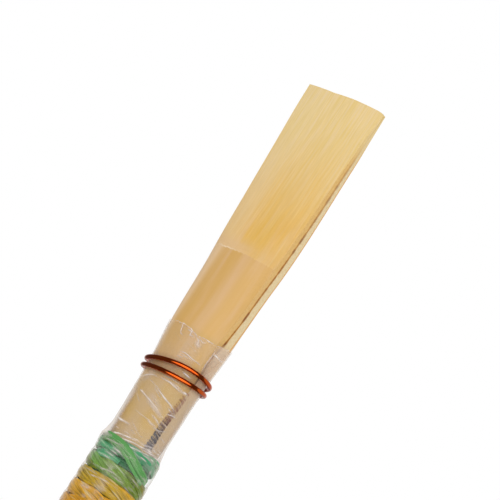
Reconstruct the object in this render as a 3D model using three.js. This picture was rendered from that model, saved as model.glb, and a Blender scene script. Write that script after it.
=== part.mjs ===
// Oboe reed: two cane blades tied onto a metal tube, with a cork sleeve, a thread binding,
// a clear film and a copper wire. Sizes are millimetres. The reed stands on its foot with z up,
// x runs across the blades, and the front blade faces -y.
import * as THREE from 'three';

// Metal tube (the staple): a round cone that turns oval towards its top
const stapleLength = 45;
const stapleOvalLength = 18;
const stapleFootRadius = 2.85;
const stapleNeckRadius = 1.89;
const stapleTopHalfWidth = 1.48;
const stapleTopHalfDepth = 0.99;
const stapleFootWall = 0.45;
const stapleTopWall = 0.3;
const stapleRimBevel = 0.12;

// Cork sleeve round the lower part of the tube
const corkWall = 0.6;
const corkFootInset = 0.4;
const corkFootBevel = 0.35;
const corkTopBevel = 0.2;
const bareStapleLength = 3;
const glueGap = 0.05;

// Cane: the free length above the tube, the length tied over it, and the lay scraped at the tip
const freeCaneLength = 26.6;
const tiedCaneLength = 10.5;
const layLength = 11.9;
const layStepLength = 0.35;
const layCornerRise = 0.5;
const tipHalfWidth = 3.45;
const tipOpening = 1.1;
const tipCornerDrop = 0.06;
const bladeFootHalfWidth = 2.38;
const bladeFootHollow = 1.06;
const tubeHalfWidth = 2.12;
const tubeHalfDepth = 1.6;

// Cane walls, at the crown of each blade
const buttWall = 0.33;
const throatWall = 0.42;
const barkWall = 0.6;
const layWall = 0.5;
const tipWall = 0.1;
const edgeWallShare = 0.82;
const scrapePower = 0.9;

// How a blade widens from its foot to its tip, in even steps, and how its section turns from an
// oval to a lens
const flareShares = [0, 0.07, 0.13, 0.26, 0.45, 0.63, 0.72, 0.79, 0.87, 0.95, 1];
const lensPower = 1.9;

// How the two blades meet: a hair of space, a sideways slip, and a seam that winds round the tube
const seamGap = 0.04;
const seatGap = 0.05;
const slipMost = 0.2;
const slipBelowTip = 11;
const slipFadePower = 1.5;
const seamTurnMost = THREE.MathUtils.degToRad(36);
const seamTurnLength = 11.5;
const seamTurnAboveStaple = 10.1;

// Binding thread: a plain inner layer, and flat outer turns laid over it
const threadBelowCane = 7.3;
const threadTopInset = 0.05;
const underlayWall = 0.07;
const strandWidth = 0.62;
const strandThickness = 0.15;
const strandSpace = 0.43;
const layerGap = 0.04;

// Clear film round the cane tube and over the upper part of the binding
const filmAboveStaple = 8.6;
const filmBelowStaple = 9;
const filmShoulder = 0.7;
const filmWall = 0.05;
const filmGap = 0.06;

// Copper wire: two turns, with both ends carried down the back
const wireAboveStaple = 5.4;
const wireDiameter = 0.32;
const wireSpace = 0.44;
const wireTurns = 2;
const wireTailLength = 2.2;
const wireBend = 0.4;

// Fineness of the meshes
const ringSides = 32;
const bladeArcSteps = 16;
const turnSteps = 24;
const strandSides = 6;
const wireSides = 8;
const wireRiseSteps = 8;
const coneSteps = 3;
const ovalSteps = 6;
const tiedSteps = 4;
const throatSteps = 4;
const tubeSteps = 3;
const barkSteps = 5;
const laySteps = 12;
const leastLevelStep = 0.01;

// Levels up the reed
const throatLevel = stapleLength;
const neckLevel = stapleLength - stapleOvalLength;
const buttLevel = stapleLength - tiedCaneLength;
const threadFootLevel = buttLevel - threadBelowCane;
const threadTopLevel = stapleLength - threadTopInset;
const corkTopLevel = threadFootLevel - bareStapleLength;
const wireLevel = stapleLength + wireAboveStaple;
const filmTopLevel = stapleLength + filmAboveStaple;
const filmFootLevel = stapleLength - filmBelowStaple;
const tipLevel = stapleLength + freeCaneLength;
const layLevel = tipLevel - layLength;
const seamTurnLevel = stapleLength + seamTurnAboveStaple;

// Sizes that follow from the ones above
const corkRadius = stapleFootRadius + glueGap + corkWall;
const turnPitch = strandWidth + strandSpace;
const wirePitch = wireDiameter + wireSpace;

const { clamp, lerp, smoothstep } = THREE.MathUtils;

// How far a level has come from one level to another, from 0 to 1
function progress(level, low, high) {
  return clamp((level - low) / (high - low), 0, 1);
}

// Levels in even steps from one to another, both ends included
function evenLevels(low, high, steps) {
  return Array.from({ length: steps + 1 }, (_, i) => lerp(low, high, i / steps));
}

// Levels of several runs in rising order, each of them once
function mergeLevels(...runs) {
  const rising = runs.flat().sort((a, b) => a - b);
  return rising.filter((level, i) => i === 0 || level - rising[i - 1] > leastLevelStep);
}

// Half width and half depth of an oval, blended from one oval to another
function blendHalves(from, to, share) {
  return from.clone().lerp(to, share);
}

// The same oval with a wall or a gap added all round
function grow(halves, by) {
  return new THREE.Vector2(halves.x + by, halves.y + by);
}

// Outside of the metal tube at a level
function stapleOuter(level) {
  const foot = new THREE.Vector2(stapleFootRadius, stapleFootRadius);
  const neck = new THREE.Vector2(stapleNeckRadius, stapleNeckRadius);
  const top = new THREE.Vector2(stapleTopHalfWidth, stapleTopHalfDepth);
  if (level < neckLevel) return blendHalves(foot, neck, progress(level, 0, neckLevel));
  return blendHalves(neck, top, progress(level, neckLevel, stapleLength));
}

// Bore of the metal tube at a level
function stapleInner(level) {
  const wall = lerp(stapleFootWall, stapleTopWall, progress(level, 0, stapleLength));
  return grow(stapleOuter(level), -wall);
}

// Wall of a blade at its crown: thin where it is tied, full under the bark, scraped towards the tip
function crownWall(level) {
  if (level < throatLevel) return lerp(buttWall, throatWall, progress(level, buttLevel, throatLevel));
  if (level < wireLevel) return lerp(throatWall, barkWall, progress(level, throatLevel, wireLevel));
  const step = lerp(barkWall, layWall, progress(level, layLevel, layLevel + layStepLength));
  const scraped = progress(level, tipLevel, layLevel + layStepLength) ** scrapePower;
  return level < layLevel + layStepLength ? step : lerp(tipWall, layWall, scraped);
}

// Wall of a blade at its side edges, as thick as the crown where the cane is tied
function edgeWall(level) {
  return crownWall(level) * lerp(1, edgeWallShare, progress(level, throatLevel, wireLevel));
}

// How far a blade has widened, as a smooth curve through its even steps
const flareCurve = new THREE.SplineCurve(
  flareShares.map((share, i) => new THREE.Vector2(i / (flareShares.length - 1), share)),
);

// Outside of the pair of blades at a level
function caneOuter(level) {
  if (level < throatLevel) return grow(stapleOuter(level), seatGap + crownWall(level));
  const throat = grow(stapleOuter(throatLevel), seatGap + throatWall);
  const tube = new THREE.Vector2(tubeHalfWidth, tubeHalfDepth);
  if (level < wireLevel) return blendHalves(throat, tube, progress(level, throatLevel, wireLevel));
  const bladeFoot = new THREE.Vector2(bladeFootHalfWidth, bladeFootHollow + barkWall);
  if (level < filmTopLevel) return blendHalves(tube, bladeFoot, progress(level, wireLevel, filmTopLevel));
  const along = progress(level, filmTopLevel, tipLevel);
  const hollow = lerp(bladeFootHollow, tipOpening / 2, smoothstep(along, 0, 1));
  const halfWidth = lerp(bladeFootHalfWidth, tipHalfWidth, flareCurve.getPoint(along).y);
  return new THREE.Vector2(halfWidth, hollow + crownWall(level));
}

// Sideways slip of one blade against the other: none at the wire, most where the lay starts, and
// gone again at the tip
function bladeSlip(level) {
  const fromWire = progress(level, wireLevel, tipLevel - slipBelowTip);
  const fromTip = progress(level, tipLevel, tipLevel - slipBelowTip);
  return slipMost * Math.min(fromWire, fromTip ** slipFadePower);
}

// Angle by which the seam between the blades has wound towards the front
function seamTurn(level) {
  return seamTurnMost * progress(level, seamTurnLevel, seamTurnLevel - seamTurnLength);
}

// How far a ring's ends at the side edges stand above its middle: the lay starts in a shallow U,
// and the tip is cut with its corners a touch low
function edgeRise(level) {
  if (level < layLevel) return layCornerRise * progress(level, filmTopLevel, layLevel);
  return lerp(layCornerRise, -tipCornerDrop, progress(level, layLevel, tipLevel));
}

// Moves a point on an oval round that oval, which keeps its outline and turns the seam
function turnOnOval(point, halves, angle) {
  const x = point.x * Math.cos(angle) + (halves.x / halves.y) * point.y * Math.sin(angle);
  const y = point.y * Math.cos(angle) - (halves.y / halves.x) * point.x * Math.sin(angle);
  return new THREE.Vector3(x, y, point.z);
}

// One ring of the back blade: its outer arc from right to left, then its inner arc back again.
// The arcs are ovals in the tube and flatten into a lens at the tip, and the cut side edges lie
// flat against the other blade in the tube and stand upright at the tip.
function bladeRing(level) {
  const outer = caneOuter(level);
  const slip = bladeSlip(level) / 2;
  const power = lerp(1, lensPower, smoothstep(level, wireLevel, tipLevel));
  const lean = lerp(Math.PI / 2, 0, smoothstep(level, wireLevel, layLevel));
  const halfWidth = outer.x - slip;
  const innerHalfWidth = halfWidth - edgeWall(level) * Math.sin(lean);
  const edgeHeight = seamGap / 2 + edgeWall(level) * Math.cos(lean);
  const hollow = outer.y - crownWall(level);
  const inner = new THREE.Vector2(innerHalfWidth, hollow);
  const outerArc = [];
  const innerArc = [];
  for (let i = 0; i <= bladeArcSteps; i += 1) {
    const around = (Math.PI * i) / bladeArcSteps;
    const sideways = Math.cos(around);
    const height = Math.sin(around) ** power;
    const z = level + edgeRise(level) * sideways ** 2;
    const outside = new THREE.Vector3(halfWidth * sideways + slip, lerp(edgeHeight, outer.y, height), z);
    const inside = new THREE.Vector3(innerHalfWidth * sideways + slip, lerp(seamGap / 2, hollow, height), z);
    outerArc.push(turnOnOval(outside, outer, seamTurn(level)));
    innerArc.unshift(turnOnOval(inside, inner, seamTurn(level)));
  }
  return [...outerArc, ...innerArc];
}

// An oval ring of points at a level, counter-clockwise seen from above
function ovalRing(halves, level) {
  return Array.from({ length: ringSides }, (_, i) => {
    const around = (2 * Math.PI * i) / ringSides;
    return new THREE.Vector3(halves.x * Math.cos(around), halves.y * Math.sin(around), level);
  });
}

// Joins equal rings of points into one closed body. Two end outlines close it like a bar, and
// without them the last ring joins the first, like a pipe.
function skin(rings, endOutlines) {
  const count = rings[0].length;
  const index = [];
  const spans = endOutlines ? rings.length - 1 : rings.length;
  for (let ring = 0; ring < spans; ring += 1) {
    const here = ring * count;
    const above = ((ring + 1) % rings.length) * count;
    for (let i = 0; i < count; i += 1) {
      const j = (i + 1) % count;
      index.push(here + i, here + j, above + j, here + i, above + j, above + i);
    }
  }
  if (endOutlines) {
    const last = (rings.length - 1) * count;
    for (const [a, b, c] of THREE.ShapeUtils.triangulateShape(endOutlines[0], [])) index.push(c, b, a);
    for (const face of THREE.ShapeUtils.triangulateShape(endOutlines[1], [])) {
      index.push(...face.map((i) => last + i));
    }
  }
  const geometry = new THREE.BufferGeometry().setFromPoints(rings.flat());
  geometry.setIndex(index);
  geometry.computeVertexNormals();
  return geometry;
}

// A pipe from its outer rings and its inner rings, both listed upwards
function pipe(outside, inside) {
  return skin([...outside, ...inside.reverse()]);
}

function stapleGeometry() {
  const bevelled = stapleOuter(0).subScalar(stapleRimBevel);
  const oval = evenLevels(neckLevel, stapleLength, ovalSteps);
  const outerLevels = mergeLevels(evenLevels(stapleRimBevel, neckLevel, coneSteps), oval);
  const innerLevels = mergeLevels(evenLevels(0, neckLevel, coneSteps), oval);
  return pipe(
    [ovalRing(bevelled, 0), ...outerLevels.map((level) => ovalRing(stapleOuter(level), level))],
    innerLevels.map((level) => ovalRing(stapleInner(level), level)),
  );
}

function corkGeometry() {
  const round = (radius, level) => ovalRing(new THREE.Vector2(radius, radius), level);
  const innerLevels = evenLevels(corkFootInset, corkTopLevel, ovalSteps);
  return pipe(
    [
      round(corkRadius - corkFootBevel, corkFootInset),
      round(corkRadius, corkFootInset + corkFootBevel),
      round(corkRadius, corkTopLevel - corkTopBevel),
      round(corkRadius - corkTopBevel, corkTopLevel),
    ],
    innerLevels.map((level) => ovalRing(grow(stapleOuter(level), glueGap), level)),
  );
}

// One cane blade, as the back blade lies
function bladeGeometry() {
  const levels = mergeLevels(
    evenLevels(buttLevel, throatLevel, tiedSteps),
    evenLevels(throatLevel, wireLevel, throatSteps),
    evenLevels(wireLevel, filmTopLevel, tubeSteps),
    evenLevels(filmTopLevel, layLevel, barkSteps),
    evenLevels(layLevel + layStepLength, tipLevel, laySteps),
  );
  const rings = levels.map(bladeRing);
  const flat = (ring) => ring.map((point) => new THREE.Vector2(point.x, point.y));
  return skin(rings, [flat(rings[0]), flat(rings.at(-1))]);
}

// Outside of the plain inner layer of thread: over the cane, and below it narrowing to the tube
function underlayOuter(level) {
  const over = layerGap + underlayWall;
  const foot = grow(stapleOuter(threadFootLevel), over);
  const butt = grow(caneOuter(buttLevel), over);
  if (level < buttLevel) return blendHalves(foot, butt, progress(level, threadFootLevel, buttLevel));
  return grow(caneOuter(Math.min(level, throatLevel)), over);
}

function underlayGeometry() {
  const onStaple = evenLevels(threadFootLevel, buttLevel - seatGap, coneSteps);
  const onCane = evenLevels(buttLevel - seatGap / 2, threadTopLevel, tiedSteps);
  const outerLevels = mergeLevels(
    evenLevels(threadFootLevel, buttLevel, coneSteps),
    evenLevels(buttLevel, threadTopLevel, tiedSteps),
  );
  return pipe(
    outerLevels.map((level) => ovalRing(underlayOuter(level), level)),
    [
      ...onStaple.map((level) => ovalRing(grow(stapleOuter(level), layerGap), level)),
      ...onCane.map((level) => ovalRing(grow(caneOuter(Math.max(level, buttLevel)), layerGap), level)),
    ],
  );
}

// Sweeps an outline along the points of a spine that winds round the reed. The outline's first
// axis points away from the reed, and its second one lies along it.
function windingRings(spine, outline) {
  return spine.map((centre, i) => {
    const before = spine[Math.max(i - 1, 0)];
    const after = spine[Math.min(i + 1, spine.length - 1)];
    const ahead = after.clone().sub(before).normalize();
    const outward = new THREE.Vector3(centre.x, centre.y * (tubeHalfWidth / tubeHalfDepth) ** 2, 0);
    outward.addScaledVector(ahead, -outward.dot(ahead)).normalize();
    const across = new THREE.Vector3().crossVectors(ahead, outward);
    return outline.map((corner) =>
      centre.clone().addScaledVector(outward, corner.x).addScaledVector(across, corner.y));
  });
}

// The least space between a winding and itself, measured between the points of its skin that lie
// at least half a turn apart along it
function leastGap(rings) {
  let least = Infinity;
  for (let i = 0; i < rings.length; i += 1) {
    for (let j = i + turnSteps / 2; j < rings.length; j += 1) {
      for (const here of rings[i]) {
        for (const there of rings[j]) least = Math.min(least, here.distanceTo(there));
      }
    }
  }
  return least;
}

// A bar with an oval section, given as half sizes away from the reed and along it
function ovalOutline(halfThickness, halfWidth, sides) {
  return Array.from({ length: sides }, (_, i) => {
    const around = (2 * Math.PI * (i + 0.5)) / sides;
    return new THREE.Vector2(halfThickness * Math.cos(around), halfWidth * Math.sin(around));
  });
}

// Middle line of the outer turns of thread, from the top turn down
function strandOval(level) {
  return grow(underlayOuter(level), layerGap + strandThickness / 2);
}

function threadGeometry() {
  const topLevel = threadTopLevel - strandWidth / 2;
  const footLevel = threadFootLevel + strandWidth / 2;
  const steps = Math.floor(((topLevel - footLevel) / turnPitch) * turnSteps);
  const spine = Array.from({ length: steps + 1 }, (_, i) => {
    const level = topLevel - (turnPitch * i) / turnSteps;
    const around = (2 * Math.PI * i) / turnSteps;
    const halves = strandOval(level);
    return new THREE.Vector3(halves.x * Math.cos(around), halves.y * Math.sin(around), level);
  });
  const outline = ovalOutline(strandThickness / 2, strandWidth / 2, strandSides);
  const rings = windingRings(spine, outline);
  const turns = (steps / turnSteps).toFixed(1);
  console.log(`binding_thread: ${turns} turns, least gap ${leastGap(rings).toFixed(2)} mm`);
  return skin(rings, [outline, outline]);
}

// Inside of the film: close round the cane, and out over the thread below its shoulder
function filmInner(level) {
  const overThread = grow(strandOval(Math.min(level, threadTopLevel)), strandThickness / 2 + layerGap);
  const overCane = grow(caneOuter(Math.max(level, threadTopLevel)), filmGap);
  const inwards = progress(level, threadTopLevel + layerGap, threadTopLevel + filmShoulder);
  return blendHalves(overThread, overCane, inwards);
}

function filmGeometry() {
  const levels = mergeLevels(
    evenLevels(filmFootLevel, threadTopLevel, tiedSteps),
    [threadTopLevel + layerGap],
    evenLevels(threadTopLevel + filmShoulder, wireLevel, throatSteps),
    evenLevels(wireLevel, filmTopLevel, tubeSteps),
  );
  return pipe(
    levels.map((level) => ovalRing(grow(filmInner(level), filmWall), level)),
    levels.map((level) => ovalRing(filmInner(level), level)),
  );
}

// Middle of the wire where it lies on the film
function wireOval(level) {
  return grow(filmInner(level), filmWall + layerGap + wireDiameter / 2);
}

// Point on the wire's path at the back of the reed, a sideways distance from its middle
function backPoint(x, level, height) {
  const halves = wireOval(level);
  const y = halves.y * Math.sqrt(1 - (x / halves.x) ** 2);
  return new THREE.Vector3(x, y + height, level);
}

// The wire's path: up the back, over the middle turn, twice round and down the back again. The
// first end is lifted clear of the turn that it crosses.
function wireSpine() {
  const topLevel = wireLevel + (wirePitch * wireTurns) / 2;
  const footLevel = wireLevel - (wirePitch * wireTurns) / 2;
  const tailLevel = footLevel - wireBend - wireTailLength;
  const side = wirePitch / 2;
  const lift = wirePitch + layerGap;
  const corner = wireBend * (1 - Math.SQRT1_2);
  const start = Math.acos(-(side + wireBend) / wireOval(topLevel).x);
  const end = 2 * Math.PI * wireTurns + Math.acos((side + wireBend) / wireOval(footLevel).x);
  const steps = Math.round(((end - start) / (2 * Math.PI)) * turnSteps);
  const loops = Array.from({ length: steps + 1 }, (_, i) => {
    const around = lerp(start, end, i / steps);
    const level = lerp(topLevel, footLevel, i / steps);
    const halves = grow(wireOval(level), lift * (1 - smoothstep(i, 0, turnSteps / 4)));
    return new THREE.Vector3(halves.x * Math.cos(around), halves.y * Math.sin(around), level);
  });
  const rise = evenLevels(footLevel - wireBend, topLevel - wireBend, wireRiseSteps).map((level) =>
    backPoint(-side, level, lift * smoothstep(level, footLevel - wireBend, wireLevel - wireBend / 2)));
  return [
    backPoint(-side, tailLevel, 0),
    backPoint(-side, lerp(tailLevel, footLevel - wireBend, 0.5), 0),
    ...rise,
    backPoint(-side - corner, topLevel - corner, lift),
    ...loops,
    backPoint(side + corner, footLevel - corner, 0),
    backPoint(side, footLevel - wireBend, 0),
    backPoint(side, lerp(tailLevel, footLevel - wireBend, 0.5), 0),
    backPoint(side, tailLevel, 0),
  ];
}

function wireGeometry() {
  const outline = ovalOutline(wireDiameter / 2, wireDiameter / 2, wireSides);
  const rings = windingRings(wireSpine(), outline);
  console.log(`copper_wire: ${wireTurns} turns, least gap ${leastGap(rings).toFixed(2)} mm`);
  return skin(rings, [outline, outline]);
}

// A named piece of the reed with a finish of its own
function piece(name, geometry, finish) {
  const mesh = new THREE.Mesh(geometry, new THREE.MeshStandardMaterial(finish));
  mesh.name = name;
  return mesh;
}

const cane = { color: '#dcb673', roughness: 0.55, metalness: 0 };
const reed = new THREE.Group();

reed.add(piece('staple_tube', stapleGeometry(), { color: '#c8a45a', roughness: 0.3, metalness: 1 }));
reed.add(piece('cork_sleeve', corkGeometry(), { color: '#c39a6b', roughness: 0.9, metalness: 0 }));
reed.add(piece('blade_back', bladeGeometry(), cane));

// The front blade is the same cane piece, turned half round
const frontBlade = piece('blade_front', bladeGeometry(), cane);
frontBlade.rotation.z = Math.PI;
reed.add(frontBlade);

reed.add(piece('binding_underlay', underlayGeometry(), { color: '#c9a030', roughness: 0.5, metalness: 0 }));
reed.add(piece('binding_thread', threadGeometry(), { color: '#5a9a6a', roughness: 0.4, metalness: 0 }));
reed.add(piece('clear_film', filmGeometry(), {
  color: '#e6cdb8', roughness: 0.15, metalness: 0, transparent: true, opacity: 0.35,
}));
reed.add(piece('copper_wire', wireGeometry(), { color: '#b8431a', roughness: 0.25, metalness: 1 }));

export default reed;
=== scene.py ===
# %% [markdown]
# # An oboe reed
#
# An oboe reed is two thin cane blades tied over a small metal tube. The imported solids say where
# every piece is. This lesson gives each piece the surface that a camera sees: grain in the cane,
# twist in the thread, wrinkles in the film and varnish on the wire. All sizes are written in
# millimetres and turned to Blender's metres in one place.

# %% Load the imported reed
import math

import bpy
import numpy as np
from mathutils import Matrix, Vector


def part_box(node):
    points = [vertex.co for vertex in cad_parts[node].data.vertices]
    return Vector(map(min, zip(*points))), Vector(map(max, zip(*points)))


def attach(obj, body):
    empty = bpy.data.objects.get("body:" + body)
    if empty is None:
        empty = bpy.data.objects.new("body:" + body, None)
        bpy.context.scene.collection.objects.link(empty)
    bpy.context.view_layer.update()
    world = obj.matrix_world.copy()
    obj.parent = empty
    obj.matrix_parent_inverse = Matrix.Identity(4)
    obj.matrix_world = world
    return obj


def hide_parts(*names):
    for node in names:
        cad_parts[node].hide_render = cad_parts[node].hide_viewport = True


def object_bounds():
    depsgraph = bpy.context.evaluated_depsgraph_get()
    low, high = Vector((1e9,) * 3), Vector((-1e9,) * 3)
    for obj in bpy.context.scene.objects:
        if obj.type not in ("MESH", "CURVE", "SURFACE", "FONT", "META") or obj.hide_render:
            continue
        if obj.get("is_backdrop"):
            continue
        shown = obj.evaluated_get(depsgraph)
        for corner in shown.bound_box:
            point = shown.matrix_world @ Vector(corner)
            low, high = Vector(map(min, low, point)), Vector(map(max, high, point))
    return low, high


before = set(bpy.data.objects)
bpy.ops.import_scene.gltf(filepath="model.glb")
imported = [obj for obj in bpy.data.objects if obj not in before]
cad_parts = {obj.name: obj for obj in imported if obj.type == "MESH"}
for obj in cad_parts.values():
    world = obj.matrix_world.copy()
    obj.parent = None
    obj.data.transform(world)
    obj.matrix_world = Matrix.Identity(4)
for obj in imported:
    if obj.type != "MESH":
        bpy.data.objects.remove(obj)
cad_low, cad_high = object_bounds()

MM = 0.001
print("packed pieces:", ", ".join(sorted(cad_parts)))

# %% [markdown]
# ## Where everything is
#
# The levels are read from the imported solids, so they need no second list. The few that no box
# shows, such as the line where the scraping starts, are measured down from the tip or up from
# the end of the metal tube.

# %% Levels up the reed, in millimetres
def ends(solid):
    """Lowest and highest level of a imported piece."""
    low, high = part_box(solid)
    return low.z / MM, high.z / MM


butt, tip = ends("blade_back")
throat = ends("staple_tube")[1]
cork_foot, cork_top = ends("cork_sleeve")
thread_foot, thread_top = ends("binding_thread")
film_foot, film_top = ends("clear_film")
neck = throat - 18
wire_level = throat + 5.4
lay = tip - 12.4
seam_turn_top = throat + 10.1
STAIN_FOOT, STAIN_TOP = 45.0, 50.0
print(f"butt {butt:.1f}, throat {throat:.1f}, film top {film_top:.1f}, lay {lay:.1f}, tip {tip:.1f}")

# %% [markdown]
# ## The camera
#
# The photograph looks at the reed from 42 degrees round its front and from 10 degrees below, and
# it is turned so that the reed leans to the right. One millimetre of reed covers 15.6 pixels. The
# camera stands a quarter of a metre away, like a close-up lens, and the tip is put on the pixel
# where the photograph has it.

# %% Camera
PHOTO_SIDE = 500
PIXELS_PER_MM = 15.6
CAMERA_DISTANCE = 250
SENSOR_WIDTH = 36
TIP_PIXEL = (346.9, 100.4)
MIDDLE_IN_VIEW = 57
azimuth, elevation, roll = (math.radians(angle) for angle in (42, -10, 31.8))

back = Vector((
    math.sin(azimuth) * math.cos(elevation),
    -math.cos(azimuth) * math.cos(elevation),
    math.sin(elevation),
))
level_right = Vector((math.cos(azimuth), math.sin(azimuth), 0))
level_up = back.cross(level_right)
right = level_right * math.cos(roll) + level_up * math.sin(roll)
up = level_up * math.cos(roll) - level_right * math.sin(roll)

focal_pixels = PIXELS_PER_MM * CAMERA_DISTANCE
tip_depth = CAMERA_DISTANCE - (tip - MIDDLE_IN_VIEW) * back.z
tip_right = (TIP_PIXEL[0] - PHOTO_SIDE / 2) * tip_depth / focal_pixels
tip_up = (PHOTO_SIDE / 2 - TIP_PIXEL[1]) * tip_depth / focal_pixels
eye = Vector((0, 0, tip)) - right * tip_right - up * tip_up + back * tip_depth

camera = bpy.data.objects.new("camera", bpy.data.cameras.new("camera"))
camera.data.sensor_width = SENSOR_WIDTH
camera.data.lens = SENSOR_WIDTH * focal_pixels / PHOTO_SIDE
camera.data.clip_start = 10 * MM
camera.matrix_world = Matrix.Translation(eye * MM) @ Matrix((right, up, back)).transposed().to_4x4()
bpy.context.scene.collection.objects.link(camera)
bpy.context.scene.camera = camera
print(f"camera {eye.z:.1f} mm above the floor, lens {camera.data.lens:.0f} mm")

# %% [markdown]
# ## Colour and nodes
#
# Colours are written as on a paint chart, in sRGB hex, and one function turns them to the linear
# values that Blender mixes. One more function adds a shader node, so that a finish reads as a
# list of what it is made of. Patterns are written by how often they change in a millimetre.

# %% Colour and node helpers
PER_MM = 1 / MM


def linear(hex_colour):
    """An sRGB hex colour as linear red, green, blue and full alpha."""
    parts = [int(hex_colour[i:i + 2], 16) / 255 for i in (1, 3, 5)]
    return (*[p / 12.92 if p <= 0.04045 else ((p + 0.055) / 1.055) ** 2.4 for p in parts], 1)


def node(tree, kind, *in_order, stops=(), **named):
    """Adds a shader node. Its inputs are given in their order or by name with a capital, as
    values, hex colours, sockets or whole nodes, which stand for their first live output. Names
    without a capital are its settings, and stops are the colours of a ramp."""
    made = tree.nodes.new("ShaderNode" + kind)
    inputs = dict(enumerate(in_order))
    for name, value in named.items():
        if name[0].isupper():
            inputs[name.replace("_", " ")] = value
        else:
            setattr(made, name, value)
    for count, (place, colour) in enumerate(stops):
        ramp = made.color_ramp.elements
        stop = ramp[count] if count < 2 else ramp.new(place)
        stop.position, stop.color = place, linear(colour)
    for key, value in inputs.items():
        if isinstance(value, bpy.types.Node):
            value = next(output for output in value.outputs if output.enabled)
        if isinstance(value, bpy.types.NodeSocket):
            tree.links.new(value, made.inputs[key])
        else:
            made.inputs[key].default_value = linear(value) if isinstance(value, str) else value
    return made


def finish_named(name):
    """An empty material and its node tree."""
    material = bpy.data.materials.new(name)
    material.use_nodes = True
    material.node_tree.nodes.clear()
    return material, material.node_tree

# %% [markdown]
# ## Floor and light
#
# The photograph is lit softly in front of white. The floor is a white board, whose grain is paper
# fibres drawn some millimetres long. The white around the reed could be a room of real panels, but
# a world with soft round cards in it gives the same light with less noise.

# %% Floor
floor_finish, tree = finish_named("matt_white_board")
grain = node(tree, "TexNoise", Scale=0.4 * PER_MM, Detail=3.0)
tone = node(tree, "ValToRGB", grain, stops=[(0.3, "#E4E2DE"), (0.7, "#ECEAE6")])
node(tree, "OutputMaterial", node(tree, "BsdfPrincipled", Base_Color=tone, Roughness=0.8))

FLOOR_HALF = 0.8
floor_mesh = bpy.data.meshes.new("floor")
corners = [(x * FLOOR_HALF, y * FLOOR_HALF, 0) for x, y in ((-1, -1), (1, -1), (1, 1), (-1, 1))]
floor_mesh.from_pydata(corners, [], [(0, 1, 2, 3)])
floor_mesh.materials.append(floor_finish)
floor = bpy.data.objects.new("floor", floor_mesh)
bpy.context.scene.collection.objects.link(floor)
floor.visible_glossy = False
floor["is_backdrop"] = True
print(f"floor {2 * FLOOR_HALF} m wide")

# %% [markdown]
# Matt things see an even white tent. Shiny ones mirror a large white card in front and a dimmer
# one at the right, and between them the dark of the room, which gives the wire its dark outlines.
# The white backdrop behind the reed is mirrored at its very edges.

# %% Surroundings
TENT, ROOM, FRONT_CARD, RIGHT_CARD, BACKDROP = 0.73, 0.12, 2.1, 0.6, 0.4
CARD_RIM = 0.06
world = bpy.data.worlds.new("white_studio")
bpy.context.scene.world = world
world.use_nodes = True
world.cycles.sampling_method = "NONE"
tree = world.node_tree
tree.nodes.clear()
direction = node(tree, "TexCoord").outputs["Generated"]

mirrored = ROOM
for towards, half_angle, brightness in (
    (back - level_right * 0.18, 43, FRONT_CARD),
    (level_right * 0.9 - back * 0.42, 48, RIGHT_CARD),
    (-back, 30, BACKDROP),
):
    rim = math.cos(math.radians(half_angle))
    facing = node(tree, "VectorMath", direction, tuple(towards.normalized()), operation="DOT_PRODUCT")
    card = node(
        tree, "MapRange", facing, rim - CARD_RIM, rim + CARD_RIM, 0.0, brightness,
        interpolation_type="SMOOTHSTEP",
    )
    mirrored = node(tree, "Math", mirrored, card, operation="ADD")
ray = node(tree, "LightPath").outputs
lit = node(tree, "Mix", Factor=ray["Is Glossy Ray"], A=TENT, B=mirrored)
strength = node(tree, "Mix", Factor=ray["Is Camera Ray"], A=lit, B=1.0)
node(tree, "OutputWorld", node(tree, "Background", "#FFFFFF", strength))

# %% [markdown]
# Three softboxes light the reed from the front, the left and the right. They are hidden from
# mirrors, where the cards stand for them.

# %% Softboxes
for name, towards, width, height, watts in (
    ("front_softbox", back + level_up * 0.25 - level_right * 0.2, 330, 260, 0.244),
    ("left_softbox", level_up * 0.8 - level_right + back * 0.3, 200, 200, 0.17),
    ("right_softbox", level_right + back * 0.1, 160, 300, 0.24),
):
    towards = towards.normalized()
    lamp = bpy.data.objects.new(name, bpy.data.lights.new(name, "AREA"))
    lamp.data.shape = "RECTANGLE"
    lamp.data.size, lamp.data.size_y = width * MM, height * MM
    lamp.data.energy = watts
    lamp.location = (Vector((0, 0, MIDDLE_IN_VIEW)) + towards * 300) * MM
    lamp.rotation_mode = "QUATERNION"
    lamp.rotation_quaternion = towards.to_track_quat("Z", "Y")
    lamp.visible_glossy = False
    bpy.context.scene.collection.objects.link(lamp)
    print(f"{name}: {width} by {height} mm, {watts} W")
bpy.context.scene.view_settings.view_transform = "Standard"

# %% [markdown]
# ## Profiles of the reed
#
# A reed maker thinks in profiles: how wide and how deep the reed is at each level. Each profile
# is a short table of stations, as a maker would mark them on the reed, rounded off a little
# because wood that is tied round a tube bends without corners.

# %% Profiles
LEVEL_STEP = 0.05
all_levels = np.arange(-2, tip + 2, LEVEL_STEP)


def profile(stations, sizes, softness=0.4):
    """A size at every level: straight from station to station, then rounded off."""
    straight = np.interp(all_levels, stations, sizes)
    reach = np.arange(-3 * softness, 3 * softness + LEVEL_STEP, LEVEL_STEP)
    weight = np.exp(-0.5 * (reach / softness) ** 2)
    padded = np.pad(straight, len(reach) // 2, mode="edge")
    rounded = np.convolve(padded, weight / weight.sum(), "same")[len(reach) // 2:][:len(all_levels)]
    return lambda level: np.interp(level, all_levels, rounded)


def progress(level, low, high):
    """How far a level has come from one level to another, from 0 to 1."""
    return np.clip((level - low) / (high - low), 0, 1)


def ease(level, low, high):
    """The same, but it starts and ends gently."""
    share = progress(level, low, high)
    return share * share * (3 - 2 * share)


tube_width = profile([0, neck, throat], [2.85, 1.89, 1.48], 0.8)
tube_depth = profile([0, neck, throat], [2.85, 1.89, 0.99], 0.8)

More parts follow.
